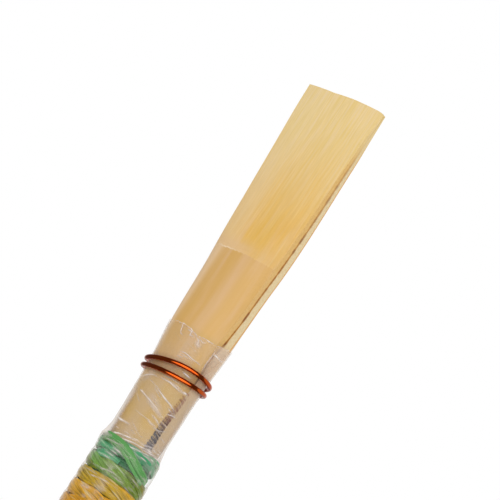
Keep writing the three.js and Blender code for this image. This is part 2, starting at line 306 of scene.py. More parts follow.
# %% [markdown]
# The cane's profiles follow the photograph above the thread. Its wall is full under the bark and
# is scraped thinner from the line to the tip, and its cut edges stand up more and more on the way
# down from lying open at the tube.

# %% Profiles of the cane
BARK_WALL, LAY_WALL, TIP_WALL, LAY_STEP = 0.6, 0.5, 0.1, 0.35
SEAT_GAP, SEAM_GAP = 0.05, 0.012
TIED_WALL = 0.33


def cane_wall(level):
    """Thickness of a blade at its crown."""
    under_bark = np.interp(
        level, [butt, throat, throat + 1.5, wire_level, film_top, lay],
        [TIED_WALL, 0.43, 0.51, 0.64, 0.61, BARK_WALL],
    )
    step = BARK_WALL + (LAY_WALL - BARK_WALL) * ease(level, lay, lay + LAY_STEP)
    scraped = TIP_WALL + (LAY_WALL - TIP_WALL) * progress(level, tip, lay + LAY_STEP) ** 0.9
    return np.where(level < lay, under_bark, np.where(level < lay + LAY_STEP, step, scraped))


# Millimetres below the tip, and there the half width at the outer corners, the thickness of the
# cut edge, and how steeply the edge stands, in degrees.
edges = np.array([
    (0.0, 3.455, 0.10, 89), (0.6, 3.43, 0.13, 89), (2.0, 3.302, 0.27, 89), (3.3, 3.227, 0.34, 88),
    (4.6, 3.155, 0.38, 88), (5.9, 3.089, 0.42, 88), (7.2, 3.041, 0.45, 87), (8.5, 2.975, 0.49, 86),
    (9.8, 2.912, 0.53, 84), (11.1, 2.837, 0.56, 83), (12.4, 2.743, 0.58, 82), (13.7, 2.632, 0.58, 80),
    (15.0, 2.553, 0.58, 79), (16.3, 2.484, 0.59, 77), (17.6, 2.41, 0.60, 73), (18.2, 2.39, 0.60, 71),
    (19.6, 2.31, 0.55, 40),
])[::-1]
edge_levels = [butt, throat, throat + 1.5, wire_level, *(tip - edges[:, 0])]
cane_width = profile(edge_levels, [tube_width(butt) + SEAT_GAP + TIED_WALL, 1.96, 2.06, 2.18, *edges[:, 1]])
edge_wall = profile(edge_levels, [TIED_WALL, 0.43, 0.48, 0.51, *edges[:, 2]])
edge_slope = profile(edge_levels, [0, 0, 0, 0, *np.radians(edges[:, 3])])

blade_stations = np.linspace(film_top, tip, 11)
hollow = 1.06 + (0.55 - 1.06) * ease(blade_stations, film_top, tip)
cane_hollow = profile(
    [butt, throat, wire_level, *blade_stations],
    [tube_depth(butt) + SEAT_GAP, tube_depth(throat) + SEAT_GAP, 1.0, *hollow],
)


def cane_depth(level):
    """Half depth of the pair of blades."""
    return cane_hollow(level) + cane_wall(level)


def section_power(level):
    """How far a blade's section is from half an oval (1) towards a flat lens (1.9)."""
    return 1 + 0.9 * ease(level, wire_level, tip)


def edge_turn(level):
    """Where on its oval a blade's outside starts, as an angle from the seam."""
    bark_corner = SEAM_GAP / 2 + edge_wall(level) * np.sin(edge_slope(level))
    return np.arcsin((bark_corner / cane_depth(level)) ** (1 / section_power(level)))


def oval_width(level):
    """Half width of the oval that a blade's outside is a part of."""
    return cane_width(level) / np.cos(edge_turn(level))


for level in (butt, throat, wire_level, film_top, lay, tip):
    print(f"level {level:5.1f}: half width {cane_width(level):.2f}, half depth {cane_depth(level):.2f}")

# %% [markdown]
# ## Turning rings into pieces
#
# Every piece of a reed is long and round, so each is built as a stack of rings of points. The
# helper joins the rings into one closed skin and keeps extra facts with every point, such as how
# far up the reed it is, for the finish to read.

# %% Piece helpers
def oval_points(half_width, half_depth, angle, level):
    """Points of an oval at the given angles and levels."""
    parts = half_width * np.cos(angle), half_depth * np.sin(angle), level
    return np.stack(np.broadcast_arrays(*parts), -1)


def ring_faces(rows, columns, first=0, loop=False, closed=False):
    """Faces of a stack of rings. A loop joins the last ring to the first, and closed adds two ends."""
    faces = []
    for row in range(rows if loop else rows - 1):
        here, above = first + row * columns, first + ((row + 1) % rows) * columns
        for i in range(columns):
            j = (i + 1) % columns
            faces.append((here + i, here + j, above + j, above + i))
    if closed:
        last = first + (rows - 1) * columns
        faces += [tuple(range(first, first + columns))[::-1], tuple(range(last, last + columns))]
    return faces


def make_piece(name, points, faces, finish, facts=None, sharp_angle=40):
    """A named piece that rides on the reed, from points in millimetres."""
    mesh = bpy.data.meshes.new(name)
    mesh.from_pydata((np.asarray(points).reshape(-1, 3) * MM).tolist(), [], faces)
    for fact, values in (facts or {}).items():
        values = np.ravel(values).astype(np.float32)
        mesh.attributes.new(fact, "FLOAT", "POINT").data.foreach_set("value", values)
    mesh.materials.append(finish)
    mesh.validate()
    mesh.shade_smooth()
    mesh.set_sharp_from_angle(angle=math.radians(sharp_angle))
    piece = bpy.data.objects.new(name, mesh)
    bpy.context.scene.collection.objects.link(piece)
    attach(piece, "root")
    print(f"{name}: {len(mesh.vertices)} points, {len(mesh.polygons)} faces")
    return piece


def drift(seed, x, y, wrap=64):
    """Smooth random values from -1 to 1, one lattice step apart, that repeat along x after wrap."""
    table = np.random.default_rng(seed).uniform(-1, 1, (64, 64))
    i, j = np.floor(x).astype(int), np.floor(y).astype(int)
    u, v = x - i, y - j
    u, v = u * u * (3 - 2 * u), v * v * (3 - 2 * v)
    corners = [table[((i + a) % wrap) % 64, (j + b) % 64] for a, b in ((0, 0), (1, 0), (0, 1), (1, 1))]
    low = corners[0] + (corners[1] - corners[0]) * u
    high = corners[2] + (corners[3] - corners[2]) * u
    return low + (high - low) * v

# %% [markdown]
# ## Metal tube
#
# The tube, called the staple, is sheet brass rolled round a mandrel and soldered along one side.
# Brass is a metal, so it colours its own reflections. The roller's marks run round the tube. They
# are a few hundredths of a millimetre fine, and drawn a tenth wide so that they show.

# %% Brass finish
brass, tree = finish_named("rolled_brass")
place = node(tree, "TexCoord").outputs["Object"]
around = node(tree, "Mapping", Vector=place, Scale=(0.4 * PER_MM, 0.4 * PER_MM, 9 * PER_MM))
rings_worn = node(tree, "TexNoise", Vector=around, Scale=1.0, Detail=4.0)
cloud = node(tree, "TexNoise", Vector=place, Scale=0.35 * PER_MM, Detail=5.0)
tarnish = node(tree, "ValToRGB", cloud, stops=[(0.35, "#A9823C"), (0.55, "#D2AC5E"), (0.75, "#DDBB72")])
solder = node(tree, "Attribute", attribute_name="solder").outputs["Fac"]
metal = node(tree, "Mix", Factor=solder, A=tarnish, B="#B9B4A6", data_type="RGBA")
dulled = node(tree, "MapRange", rings_worn, 0.0, 1.0, 0.18, 0.42)
scratches = node(tree, "Bump", Height=rings_worn, Strength=0.12, Distance=0.02 * MM)
shader = node(tree, "BsdfPrincipled", Base_Color=metal, Metallic=1.0, Roughness=dulled, Normal=scratches)
node(tree, "OutputMaterial", shader)

# %% [markdown]
# The tube is round at its foot and oval at its top. A bent cylinder can't change its section like
# that, so it is a pipe of rings: up the outside, over the rounded foot, and down the inside. The
# soldered seam is a fine silvery groove down its back.

# %% Brass tube
TUBE_SIDES = 88
SEAM_ANGLE, SEAM_DEPTH, SEAM_HALF_ANGLE = math.pi / 2, 0.035, 0.035
FOOT_ROUNDING, FOOT_WALL, TOP_WALL = 0.12, 0.45, 0.3
turn = np.sort(np.concatenate([
    np.linspace(0, 2 * math.pi, TUBE_SIDES, endpoint=False),
    SEAM_ANGLE + SEAM_HALF_ANGLE * np.arange(-2.25, 2.5, 0.5),
]))


def pipe_rings(levels, thinner, angles):
    """Rings of the tube's own oval, drawn in by a wall or pushed out by a gap."""
    levels = levels[:, None]
    return oval_points(tube_width(levels) - thinner, tube_depth(levels) - thinner, angles, levels)


upwards = np.array([0, 0.03, 0.08, 0.15, *np.linspace(0.6, throat - 0.15, 70), throat - 0.05, throat])
rounding = FOOT_ROUNDING * (1 - progress(upwards, 0, 0.15)) ** 2
wall = np.interp(upwards, [0, throat], [FOOT_WALL, TOP_WALL])
outside = pipe_rings(upwards, rounding[:, None], turn)
on_seam = np.exp(-((turn - SEAM_ANGLE) / SEAM_HALF_ANGLE) ** 2)
outside[..., 1] -= SEAM_DEPTH * on_seam
inside = pipe_rings(upwards[::-1], wall[::-1, None], turn)
tube_rings = np.concatenate([outside, inside])
soldered = np.concatenate([np.tile(on_seam, (len(outside), 1)), np.zeros(inside.shape[:2])])
tube = make_piece(
    "brass_tube", tube_rings, ring_faces(len(tube_rings), len(turn), loop=True), brass,
    {"solder": soldered}, sharp_angle=30,
)
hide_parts("staple_tube")

# %% [markdown]
# ## Cork sleeve
#
# A thin sheet of natural cork is glued round the tube and sanded to a cylinder. Cork is full of
# air cells, so it is matt and soft, and it darkens in its pores. The cells are 0.03 mm across, too
# fine to show, so they are drawn half a millimetre wide.

# %% Cork finish
cork, tree = finish_named("sanded_natural_cork")
place = node(tree, "TexCoord").outputs["Object"]
cells = node(tree, "TexVoronoi", Vector=place, Scale=1.8 * PER_MM, feature="F1")
mottle = node(tree, "TexNoise", Vector=place, Scale=0.5 * PER_MM, Detail=6.0, Roughness=0.7)
tone = node(tree, "ValToRGB", mottle, stops=[(0.3, "#A97B4C"), (0.5, "#C79C6A"), (0.7, "#D8B385")])
grainy = node(tree, "MapRange", cells, 0.0, 0.7, 1.06, 0.86)
speckled = node(tree, "VectorMath", tone, Scale=grainy, operation="SCALE")
pit = node(tree, "Attribute", attribute_name="pit").outputs["Fac"]
dark = node(tree, "Mix", Factor=pit, A=speckled, B="#4E3018", data_type="RGBA")
rough = node(tree, "Bump", Height=mottle, Strength=0.5, Distance=0.08 * MM)
shader = node(
    tree, "BsdfPrincipled", Base_Color=dark, Roughness=0.85, Normal=rough, Specular_IOR_Level=0.3,
)
node(tree, "OutputMaterial", shader)

# %% [markdown]
# Pores could be painted only, but real ones are pits that catch shadow, so each is pressed into
# the rings as a small hollow. The two ends of the sheet meet in one straight joint.

# %% Cork sleeve
CORK_RADIUS, CORK_SIDES = 3.5, 260
PORES, PORE_DEPTH, JOINT_ANGLE, JOINT_HALF_WIDTH = 260, 0.09, 2.2, 0.05
cork_turn = np.linspace(0, 2 * math.pi, CORK_SIDES, endpoint=False)
cork_levels = np.concatenate([
    cork_foot + np.array([0, 0.1, 0.2, 0.3, 0.36]), np.arange(cork_foot + 0.45, cork_top - 0.2, 0.1),
    cork_top - np.array([0.14, 0.08, 0.03, 0.0]),
])
bevel = 0.35 * (1 - progress(cork_levels, cork_foot, cork_foot + 0.36)) ** 1.5
bevel += 0.2 * progress(cork_levels, cork_top - 0.2, cork_top) ** 2
angles, levels = np.meshgrid(cork_turn, cork_levels)


def round_cork(angle):
    """Distance round the sleeve from an angle, the short way, in millimetres."""
    return ((angles - angle + math.pi) % (2 * math.pi) - math.pi) * CORK_RADIUS


chance = np.random.default_rng(11)
depth = np.zeros_like(angles)
for _ in range(PORES):
    at_angle, at_level = chance.uniform(0, 2 * math.pi), chance.uniform(cork_foot, cork_top)
    wide, tall = chance.uniform(0.08, 0.22), chance.uniform(0.04, 0.09)
    away = (round_cork(at_angle) / wide) ** 2 + ((levels - at_level) / tall) ** 2
    depth = np.maximum(depth, chance.uniform(0.4, 1) * np.exp(-away))
off_joint = round_cork(JOINT_ANGLE + (levels - cork_foot) * 0.004)
depth = np.maximum(depth, 0.8 * np.exp(-(off_joint / JOINT_HALF_WIDTH) ** 2))
waves = drift(5, angles * 64 / (2 * math.pi), levels * 3) * 0.012
radius = CORK_RADIUS - 0.012 - bevel[:, None] + waves - PORE_DEPTH * depth
outer = oval_points(radius, radius, angles, levels)
inner = pipe_rings(np.linspace(cork_top, cork_foot, 12), -0.02, cork_turn)
sleeve_rings = np.concatenate([outer, inner])
pits = np.concatenate([depth, np.zeros(inner.shape[:2])])
sleeve = make_piece(
    "cork_sleeve_sanded", sleeve_rings, ring_faces(len(sleeve_rings), CORK_SIDES, loop=True), cork,
    {"pit": np.clip(pits, 0, 1)}, sharp_angle=70,
)
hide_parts("cork_sleeve")

# %% [markdown]
# ## Cane
#
# Both blades come from one strip of giant reed, folded, shaped and cut open at the tip. Below the
# scraping line the cane keeps its bark, a smooth golden skin. Above it the maker has scraped the
# bark away to paler, fibrous wood, which is the part called the lay. Long fibres run up the whole
# blade, so the grain is noise that is stretched along it: about a tenth of a millimetre wide and
# some millimetres long. An image could give grain too, but it would end in a seam at the edges.

# %% Ways of colouring cane
def laid_over(tree, under, colour, value, start, end, at_start=0.0, at_end=1.0):
    """Lays one colour over another, by a share that fades softly between two values."""
    share = node(
        tree, "MapRange", value, start, end, at_start, at_end, interpolation_type="SMOOTHSTEP",
    )
    return node(tree, "Mix", Factor=share, A=under, B=colour, data_type="RGBA")


def away_from(tree, value, middle):
    """How far a value is from a middle, to either side."""
    return node(tree, "Math", node(tree, "Math", value, middle, operation="SUBTRACT"), operation="ABSOLUTE")


def fibres(tree, place, per_mm, detail):
    """Noise drawn out along a piece, by how often it changes in a millimetre each way."""
    drawn_out = node(tree, "VectorMath", place, per_mm, operation="MULTIPLY")
    return node(tree, "TexNoise", Vector=drawn_out, Scale=1.0, Detail=detail)

# %% [markdown]
# Scraped wood has golden and pinkish cream fibres, more golden near the line and paler to the tip.
# Its left side is painted paler as a painted highlight. Bark is smoother and a little pinker, with
# faint stripes, a painted highlight just right of its middle and a lighter band down its left side,
# a painted reflection of the white behind the reed.
# The line between them wanders from fibre to fibre. There the knife leaves a lip whose edge is a
# painted highlight, bright where light catches it, and torn fibres just above it look pinkish.

# %% Scraped wood and bark
def cane_faces(tree, fact, place):
    """Colours of the face without and with its torn fibres and painted lip highlight, how scraped it is, and
    its finest fibres.
    """
    level, across = fact["level"], fact["across"]
    hair, fine, broad = (
        fibres(tree, place, per_mm, detail)
        for per_mm, detail in (((12.0, 0.8, 1.0), 2.0), ((7.0, 0.3, 1.0), 3.0), ((1.6, 0.16, 1.0), 3.0))
    )
    golden = node(tree, "ValToRGB", fine, stops=[(0.30, "#DFAE55"), (0.48, "#E2B562"), (0.66, "#E4BF78")])
    creamy = node(tree, "ValToRGB", broad, stops=[(0.35, "#E3B04C"), (0.5, "#E3B768"), (0.66, "#E4C097")])
    thin = node(tree, "ValToRGB", fine, stops=[(0.30, "#E5CA84"), (0.5, "#E7CE93"), (0.68, "#E9D1A4")])
    wood = node(tree, "Mix", Factor=0.36, A=golden, B=creamy, data_type="RGBA")
    # Painted highlight: the scraped wood is paler down its left side.
    wood = laid_over(tree, wood, "#E4C798", across, -1.9, 0.1, 0.6, 0.0)
    wood = laid_over(tree, wood, "#D8AC4C", away_from(tree, across, 0.9), 0.3, 1.4, 0.34, 0.0)
    wood = laid_over(tree, wood, thin, level, lay + 1.0, tip - 1.0, 0.0, 0.8)
    lifted = node(tree, "MapRange", hair, 0.3, 0.7, 0.965, 1.035)
    wood = node(tree, "VectorMath", wood, Scale=lifted, operation="SCALE")

    skin = node(tree, "ValToRGB", broad, stops=[(0.25, "#D1A459"), (0.5, "#D4A865"), (0.8, "#D8B081")])
    skin = node(tree, "Mix", Factor=0.12, A=skin, B=golden, data_type="RGBA")
    # Painted highlight just right of the bark's middle, and a painted reflection of the white down its left
    # side.
    skin = laid_over(tree, skin, "#DBB486", away_from(tree, across, 0.95), 0.1, 0.75, 0.5, 0.0)
    skin = laid_over(tree, skin, "#E9C79C", across, -1.8, -0.95, 0.85, 0.0)

    ragged = node(tree, "MapRange", fine, 0.3, 0.7, -0.06, 0.06)
    line = node(tree, "Math", fact["above_line"], ragged, operation="ADD")
    scraped = node(tree, "MapRange", line, -0.03, 0.03, interpolation_type="SMOOTHSTEP")
    face = node(tree, "Mix", Factor=scraped, A=skin, B=wood, data_type="RGBA")

    # Both shares are greys: how strong each is above the line, times how strong across the blade.
    over_line = node(tree, "MapRange", line, -0.5, 1.5)
    torn = node(tree, "ValToRGB", over_line, stops=[
        (0.235, "#000000"), (0.25, "#F0F0F0"), (0.5, "#E0E0E0"), (0.62, "#A0A0A0"), (0.85, "#000000"),
    ])
    torn_side = node(tree, "MapRange", across, -0.1, 1.6, 1.0, 0.35, interpolation_type="SMOOTHSTEP")
    # The lip is a painted highlight: a thin bright line where light catches the knife's step.
    lip_highlight = node(tree, "ValToRGB", over_line, stops=[
        (0.225, "#000000"), (0.245, "#FFFFFF"), (0.262, "#FFFFFF"), (0.285, "#000000"),
    ])
    lip_highlight_side = node(tree, "ValToRGB", node(tree, "MapRange", across, -3.0, 3.0), stops=[
        (0.1, "#000000"), (0.17, "#B0B0B0"), (0.33, "#D8D8D8"), (0.5, "#707070"), (0.66, "#000000"),
    ])
    torn_and_highlit = face
    for above, side, colour in ((torn, torn_side, "#DEB988"), (lip_highlight, lip_highlight_side, "#F3DFC0")):
        share = node(tree, "Math", above, side, operation="MULTIPLY")
        torn_and_highlit = node(tree, "Mix", Factor=share, A=torn_and_highlit, B=colour, data_type="RGBA")
    return face, torn_and_highlit, scraped, fine

# %% [markdown]
# The cut side edges are cream wood with fine dots, where fibres are cut across, and the back blade
# shows a thin orange rim where its bark is cut through. Under the film both are kept less pale, as
# painted shade. The seam holds a thin brown line, partly old moisture and partly painted shade of
# the gap between the blades, darker in places.

# %% Cut edges and seam
def cane_edges(tree, fact, place, face, torn_and_highlit, covered, bark_starts, paleness, colours):
    """Adds the cut edges and the seam to a face."""
    level, from_edge = fact["level"], fact["from_edge"]
    dots = fibres(tree, place, (24.0, 5.0, 1.0), 2.0)
    cut_wood = node(tree, "ValToRGB", dots, stops=[*zip((0.35, 0.62), colours)])
    pale = node(tree, "MapRange", level, lay - 2.0, lay + 2.5, paleness, 1.0)
    # Painted shade: under the film the cut edges are kept less pale.
    painted_shade_factor = node(tree, "MapRange", covered, 0.0, 1.0, 1.0, 0.35)
    pale = node(tree, "Math", pale, painted_shade_factor, operation="MULTIPLY")
    cut = node(tree, "Mix", Factor=pale, A=face, B=cut_wood, data_type="RGBA")
    if bark_starts < 0:
        bark = node(tree, "MapRange", from_edge, 0.02, 0.14, interpolation_type="SMOOTHSTEP")
        bark = node(tree, "Math", bark, covered, operation="MAXIMUM")
        torn_and_highlit = node(tree, "Mix", Factor=bark, A="#DDA862", B=torn_and_highlit, data_type="RGBA")
    edged = laid_over(tree, cut, torn_and_highlit, from_edge, bark_starts - 0.03, bark_starts + 0.02)

    # The seam line is partly brown moisture and partly painted shade of the gap between the blades.
    specks = node(tree, "TexNoise", W=level, Scale=1.3, Detail=2.0, noise_dimensions="1D")
    seam_width = node(tree, "MapRange", specks, 0.35, 0.65, 0.08, 0.12)
    off_seam = node(tree, "Math", fact["from_seam"], seam_width, operation="DIVIDE")
    seam_stain_and_shade = node(tree, "MapRange", off_seam, 0.3, 1.3, 1.0, 0.0, interpolation_type="SMOOTHSTEP")
    less_at_tip = node(tree, "MapRange", level, lay, tip - 3.0, 1.0, 0.45)
    less_under_film = node(tree, "MapRange", covered, 0.0, 1.0, 1.0, 0.4)
    for weaker in (less_at_tip, less_under_film):
        seam_stain_and_shade = node(tree, "Math", seam_stain_and_shade, weaker, operation="MULTIPLY")
    brown = node(tree, "ValToRGB", specks, stops=[(0.40, "#BE8028"), (0.58, "#A86A1E"), (0.72, "#945818")])
    seamed = node(tree, "Mix", Factor=seam_stain_and_shade, A=edged, B=brown, data_type="RGBA")
    return laid_over(tree, seamed, face, level, tip - 4.5, tip - 2.0)

# %% [markdown]
# Wrapped in film, the cane has stayed damp, so it is a little darker and greener there, most below
# the wire, and the back blade's tint is darker still as painted shade. Round the wire's two turns
# the cane is painted darker and redder, as painted shade and a painted reflection of the copper.
# Beside the seam the cane is hatched with dark stain, redder above and bluer below, which soaks
# together lower down.

# %% Cane under the film
def cane_under_film(tree, fact, dry, damp_and_shade_tint):
    """Adds damp, painted shade and copper reflection round the wire, and stain to the cane."""
    level = fact["level"]
    below_film_top = node(tree, "MapRange", level, film_top, film_top - 10)
    damp = node(tree, "ValToRGB", below_film_top, stops=[
        (0.0, "#000000"), (0.04, "#A8A8A8"), (0.3, "#B4B4B4"), (0.45, "#FFFFFF"),
    ])
    # The tint also holds painted shade, darker on the back blade.
    damp_and_shaded_cane = node(tree, "VectorMath", dry, damp_and_shade_tint, operation="MULTIPLY")
    clean = node(tree, "Mix", Factor=damp, A=dry, B=damp_and_shaded_cane, data_type="RGBA")
    # Painted shade and painted reflection of the copper round the wire's turns.
    wire_shade_and_reflection = node(tree, "VectorMath", clean, (0.72, 0.66, 0.66), operation="MULTIPLY")
    from_wire = away_from(tree, level, wire_level + 0.1)
    wire_shaded = laid_over(tree, clean, wire_shade_and_reflection, from_wire, 0.25, 0.85, 0.8, 0.0)

    place = node(tree, "TexCoord").outputs["Object"]
    round_it, slanted = (
        node(tree, "VectorMath", place, per_metre, operation="DOT_PRODUCT")
        for per_metre in ((0.0, 1500.0, 0.0), (0.0, 2700.0, 6900.0))
    )
    hatching = node(tree, "CombineXYZ", round_it, slanted, 5.0)
    dashes = node(tree, "TexNoise", Vector=hatching, Scale=1.0, Detail=3.0, Roughness=0.7, Distortion=0.25)
    down = node(tree, "MapRange", level, STAIN_TOP, STAIN_FOOT)
    frayed = node(tree, "Math", down, 0.19, dashes, operation="MULTIPLY_ADD")
    frayed = node(tree, "Math", frayed, fact["stain"], operation="ADD")
    marked = node(tree, "MapRange", frayed, 1.4, 1.72, interpolation_type="SMOOTHSTEP")
    strength = node(tree, "MapRange", down, 0.0, 0.7, 0.7, 1.0)
    share = node(tree, "Math", marked, strength, operation="MULTIPLY")
    stain_dye = node(tree, "ValToRGB", down, stops=[
        (0.0, "#8C3C1C"), (0.4, "#70261C"), (0.58, "#44202A"), (0.74, "#0C1024"), (1.0, "#1E2A40"),
    ])
    return node(tree, "Mix", Factor=share, A=wire_shaded, B=stain_dye, data_type="RGBA")

# %% [markdown]
# The finish puts these together. Bark holds a hard natural wax, so it is glossier than the scraped
# wood, whose open fibres scatter the light.

# %% Cane finish
def cane_finish(name, seed, bark_starts, edge_paleness, edge_colours, damp_and_shade_tint):
    """Giant reed with bark, scraped wood and cut edges, told apart by facts in the mesh."""
    material, tree = finish_named(name)
    fact = {
        word: node(tree, "Attribute", attribute_name=word).outputs["Fac"]
        for word in ("level", "across", "from_edge", "above_line", "from_seam", "stain")
    }
    place = node(tree, "CombineXYZ", fact["across"], fact["level"], seed)
    covered = node(tree, "MapRange", fact["level"], film_top, film_top - 0.4)
    face, torn_and_highlit, scraped, fine = cane_faces(tree, fact, place)
    edged = cane_edges(tree, fact, place, face, torn_and_highlit, covered, bark_starts, edge_paleness, edge_colours)
    colour = cane_under_film(tree, fact, edged, damp_and_shade_tint)
    gloss = node(tree, "MapRange", scraped, 0.0, 1.0, 0.4, 0.62)
    relief = node(tree, "Bump", Height=fine, Strength=0.3, Distance=0.02 * MM)
    shader = node(tree, "BsdfPrincipled", Base_Color=colour, Roughness=gloss, Normal=relief, IOR=1.5)
    node(tree, "OutputMaterial", shader)
    return material

# %% [markdown]
# ## The blades
#
# One blade is a stack of crescent-shaped rings. In the tied part it is half of an oval tube, and
# towards the tip it flattens into half of a lens. Each ring runs over the outside from right to
# left, down the cut left edge, back along the inside and up the cut right edge. A bent sheet with
# thickness would be quicker, but its edges couldn't change their slope as real ones do.

# %% Blade shape
ARC_STEPS = 72
CUT_SHARES = np.array([0.03, 0.08, 0.15, 0.25, 0.42, 0.6, 0.75, 0.86, 0.94])
LAND = 0.08
SEAM_TURN, SEAM_TURN_LENGTH = math.radians(25.5), 8.15
LINE_RISE, TIP_CORNER_DROP = 0.12, 0.06

line_low, line_high = lay - 0.1, lay + LAY_STEP + 0.1
blade_levels = np.concatenate([
    np.linspace(butt, film_top, 90, endpoint=False), np.linspace(film_top, line_low, 50, endpoint=False),
    np.linspace(line_low, line_high, 14, endpoint=False), np.linspace(line_high, tip, 70),
])


def turned(x, y, half_width, half_depth, angle):
    """Moves points on an oval round it, which winds the seam and keeps the outline."""
    return (
        x * np.cos(angle) + half_width / half_depth * y * np.sin(angle),
        y * np.cos(angle) - half_depth / half_width * x * np.sin(angle),
    )


def line_shape(sideways):
    """How much higher the scraping line is at the sides than in the middle."""
    return LINE_RISE * ease(sideways, 0.5, 0.85)


def blade_shape():
    """Rings of the back blade and the facts that its finish reads."""
    level = blade_levels[:, None]
    share = np.linspace(0, 1, ARC_STEPS + 1)[None, :]
    power, start, depth = section_power(level), edge_turn(level), cane_depth(level)
    arc = start + (math.pi - 2 * start) * share
    outer_x = oval_width(level) * np.cos(arc)
    outer_y = depth * np.clip(np.sin(arc), 0, 1) ** power
    contact = cane_width(level) - edge_wall(level) * np.cos(edge_slope(level))
    inner_depth = depth - cane_wall(level)
    inner_x = contact * np.cos(math.pi * share)
    hollowed = np.sqrt(np.clip(1 - (inner_x / (contact - LAND)) ** 2, 0, 1)) ** power
    inner_y = SEAM_GAP / 2 + (inner_depth - SEAM_GAP / 2) * hollowed

    sideways = outer_x / cane_width(level)
    toward_line = np.minimum(progress(level, film_top, lay), progress(level, tip, lay))
    corner_drop = TIP_CORNER_DROP * progress(level, lay, tip) * sideways ** 2
    z = level + toward_line * line_shape(sideways) - corner_drop
    angle = SEAM_TURN * progress(level, seam_turn_top, seam_turn_top - SEAM_TURN_LENGTH)
    outer = np.stack([*turned(outer_x, outer_y, oval_width(level), depth, angle), z], -1)
    inner = np.stack([*turned(inner_x, inner_y, contact, inner_depth, angle), z], -1)[:, ::-1]
    left_cut = inner[:, :1] + (outer[:, -1:] - inner[:, :1]) * CUT_SHARES[None, ::-1, None]
    right_cut = inner[:, -1:] + (outer[:, :1] - inner[:, -1:]) * CUT_SHARES[None, :, None]
    rings = np.concatenate([outer, left_cut, inner, right_cut], 1)

    steps = np.linalg.norm(np.diff(outer[..., :2], axis=1), axis=-1)
    travelled = np.concatenate([np.zeros((len(steps), 1)), np.cumsum(steps, 1)], 1)
    half_arc = travelled[:, -1:] / 2
    to_edge = np.minimum(travelled, 2 * half_arc - travelled)
    cut = np.linalg.norm(inner[:, :1] - outer[:, -1:], axis=-1)
    off_seam = cut * CUT_SHARES
    inside = contact - np.abs(inner_x)
    # Each fact has four parts, as a ring has: outside, left cut, inside, right cut.
    parts = {
        "across": [
            travelled - half_arc, half_arc + cut - off_seam[:, ::-1],
            half_arc - travelled, off_seam - cut - half_arc,
        ],
        "from_edge": [to_edge, off_seam[:, ::-1] - cut, -1 - inside, off_seam - cut],
        "from_seam": [to_edge + cut, off_seam[:, ::-1], inside, off_seam],
    }
    facts = {fact: np.concatenate(values, 1) for fact, values in parts.items()}
    facts["level"] = rings[..., 2]
    facts["above_line"] = rings[..., 2] - lay - line_shape(rings[..., 0] / cane_width(level))
    return rings, facts


def blade_faces(rows, columns):
    """The skin's faces, and two ends that join the outside to the inside."""
    faces = ring_faces(rows, columns)
    cut_steps = len(CUT_SHARES)
    last_inside = 2 * ARC_STEPS + 1 + cut_steps
    for first, flip in ((0, True), ((rows - 1) * columns, False)):
        for i in range(ARC_STEPS):
            corners = [first + k for k in (i, i + 1, last_inside - i - 1, last_inside - i)]
            if i == 0:
                corners += [first + k for k in range(last_inside + 1, columns)]
            if i == ARC_STEPS - 1:
                cut = [first + k for k in range(ARC_STEPS + 1, ARC_STEPS + 1 + cut_steps)]
                corners = corners[:2] + cut + corners[2:]
            faces.append(tuple(reversed(corners)) if flip else tuple(corners))
    return faces


rings, facts = blade_shape()
faces = blade_faces(*rings.shape[:2])
print(f"one blade: {len(rings)} rings of {rings.shape[1]} points")

# %% [markdown]
# The reed in the photograph isn't quite true: its blades lean a tenth of a millimetre to the
# right between the wire and the tip, and its tip was cut slightly askew. Both are added last. The
# front blade is the back one turned half round, with a finish of its own.

# %% Front and back blade
lean_stations = tip - np.array([18, 16.8, 14.8, 12.8, 10.9, 9, 7.1, 5.2, 3.3, 2, 0])
lean = profile(lean_stations, [0, 0.01, 0.055, 0.105, 0.115, 0.12, 0.1, 0.08, 0.065, 0.03, 0.02])
TRIM_ACROSS = [-3.4, -2.2, -0.7, 0.95, 3.05, 3.3, 3.45]
TRIM_RISE = [0.175, 0.09, 0.0, 0.06, 0.06, 0.03, -0.04]

# For each blade: its name, half turn, solid, and then the seed, the distance from the edge where its
# bark starts, how pale its edge is under the line, the edge's two colours, and its damp tint, which
# on the back blade is darker as painted shade.
for name, way, solid, *finish_facts in (
    ("cane_blade_front", [-1, -1, 1], "blade_front",
     3.0, 0.0, 0.85, ("#DCAE60", "#E6BE78"), (0.84, 0.93, 0.98)),
    ("cane_blade_back", [1, 1, 1], "blade_back",
     8.0, -0.07, 1.0, ("#DFC593", "#EBD8AE"), (0.72, 0.76, 0.81)),
):
    placed = rings * np.array(way)
    placed[..., :2] += lean(placed[..., 2])[..., None] * np.array(level_right[:2])
    trim = np.interp(placed[..., 0], TRIM_ACROSS, TRIM_RISE)
    placed[..., 2] += trim * ease(blade_levels, tip - 1.5, tip)[:, None]
    x, z = placed[..., 0], placed[..., 2]
    stain_reach = np.interp(z, [STAIN_FOOT + 0.5, STAIN_TOP], [0.32, 0.24])
    stain = ease(facts["from_edge"] / stain_reach, 1.2, 0.75) * (x > 0)
    stain = stain * ease(z, STAIN_TOP + 0.2, STAIN_TOP - 0.4) * ease(z, STAIN_FOOT - 0.2, STAIN_FOOT + 0.2)
    blade = make_piece(
        name, placed, faces, cane_finish(name + "_cane", *finish_facts), {**facts, "stain": stain},
    )
    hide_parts(solid)

# %% [markdown]
# ## Reading places off the photograph
#
# The thread's crossing end and the film's creases are placed from the photograph. A pixel is a
# line of sight, and the point wanted is where this line meets the oval surface of the reed.

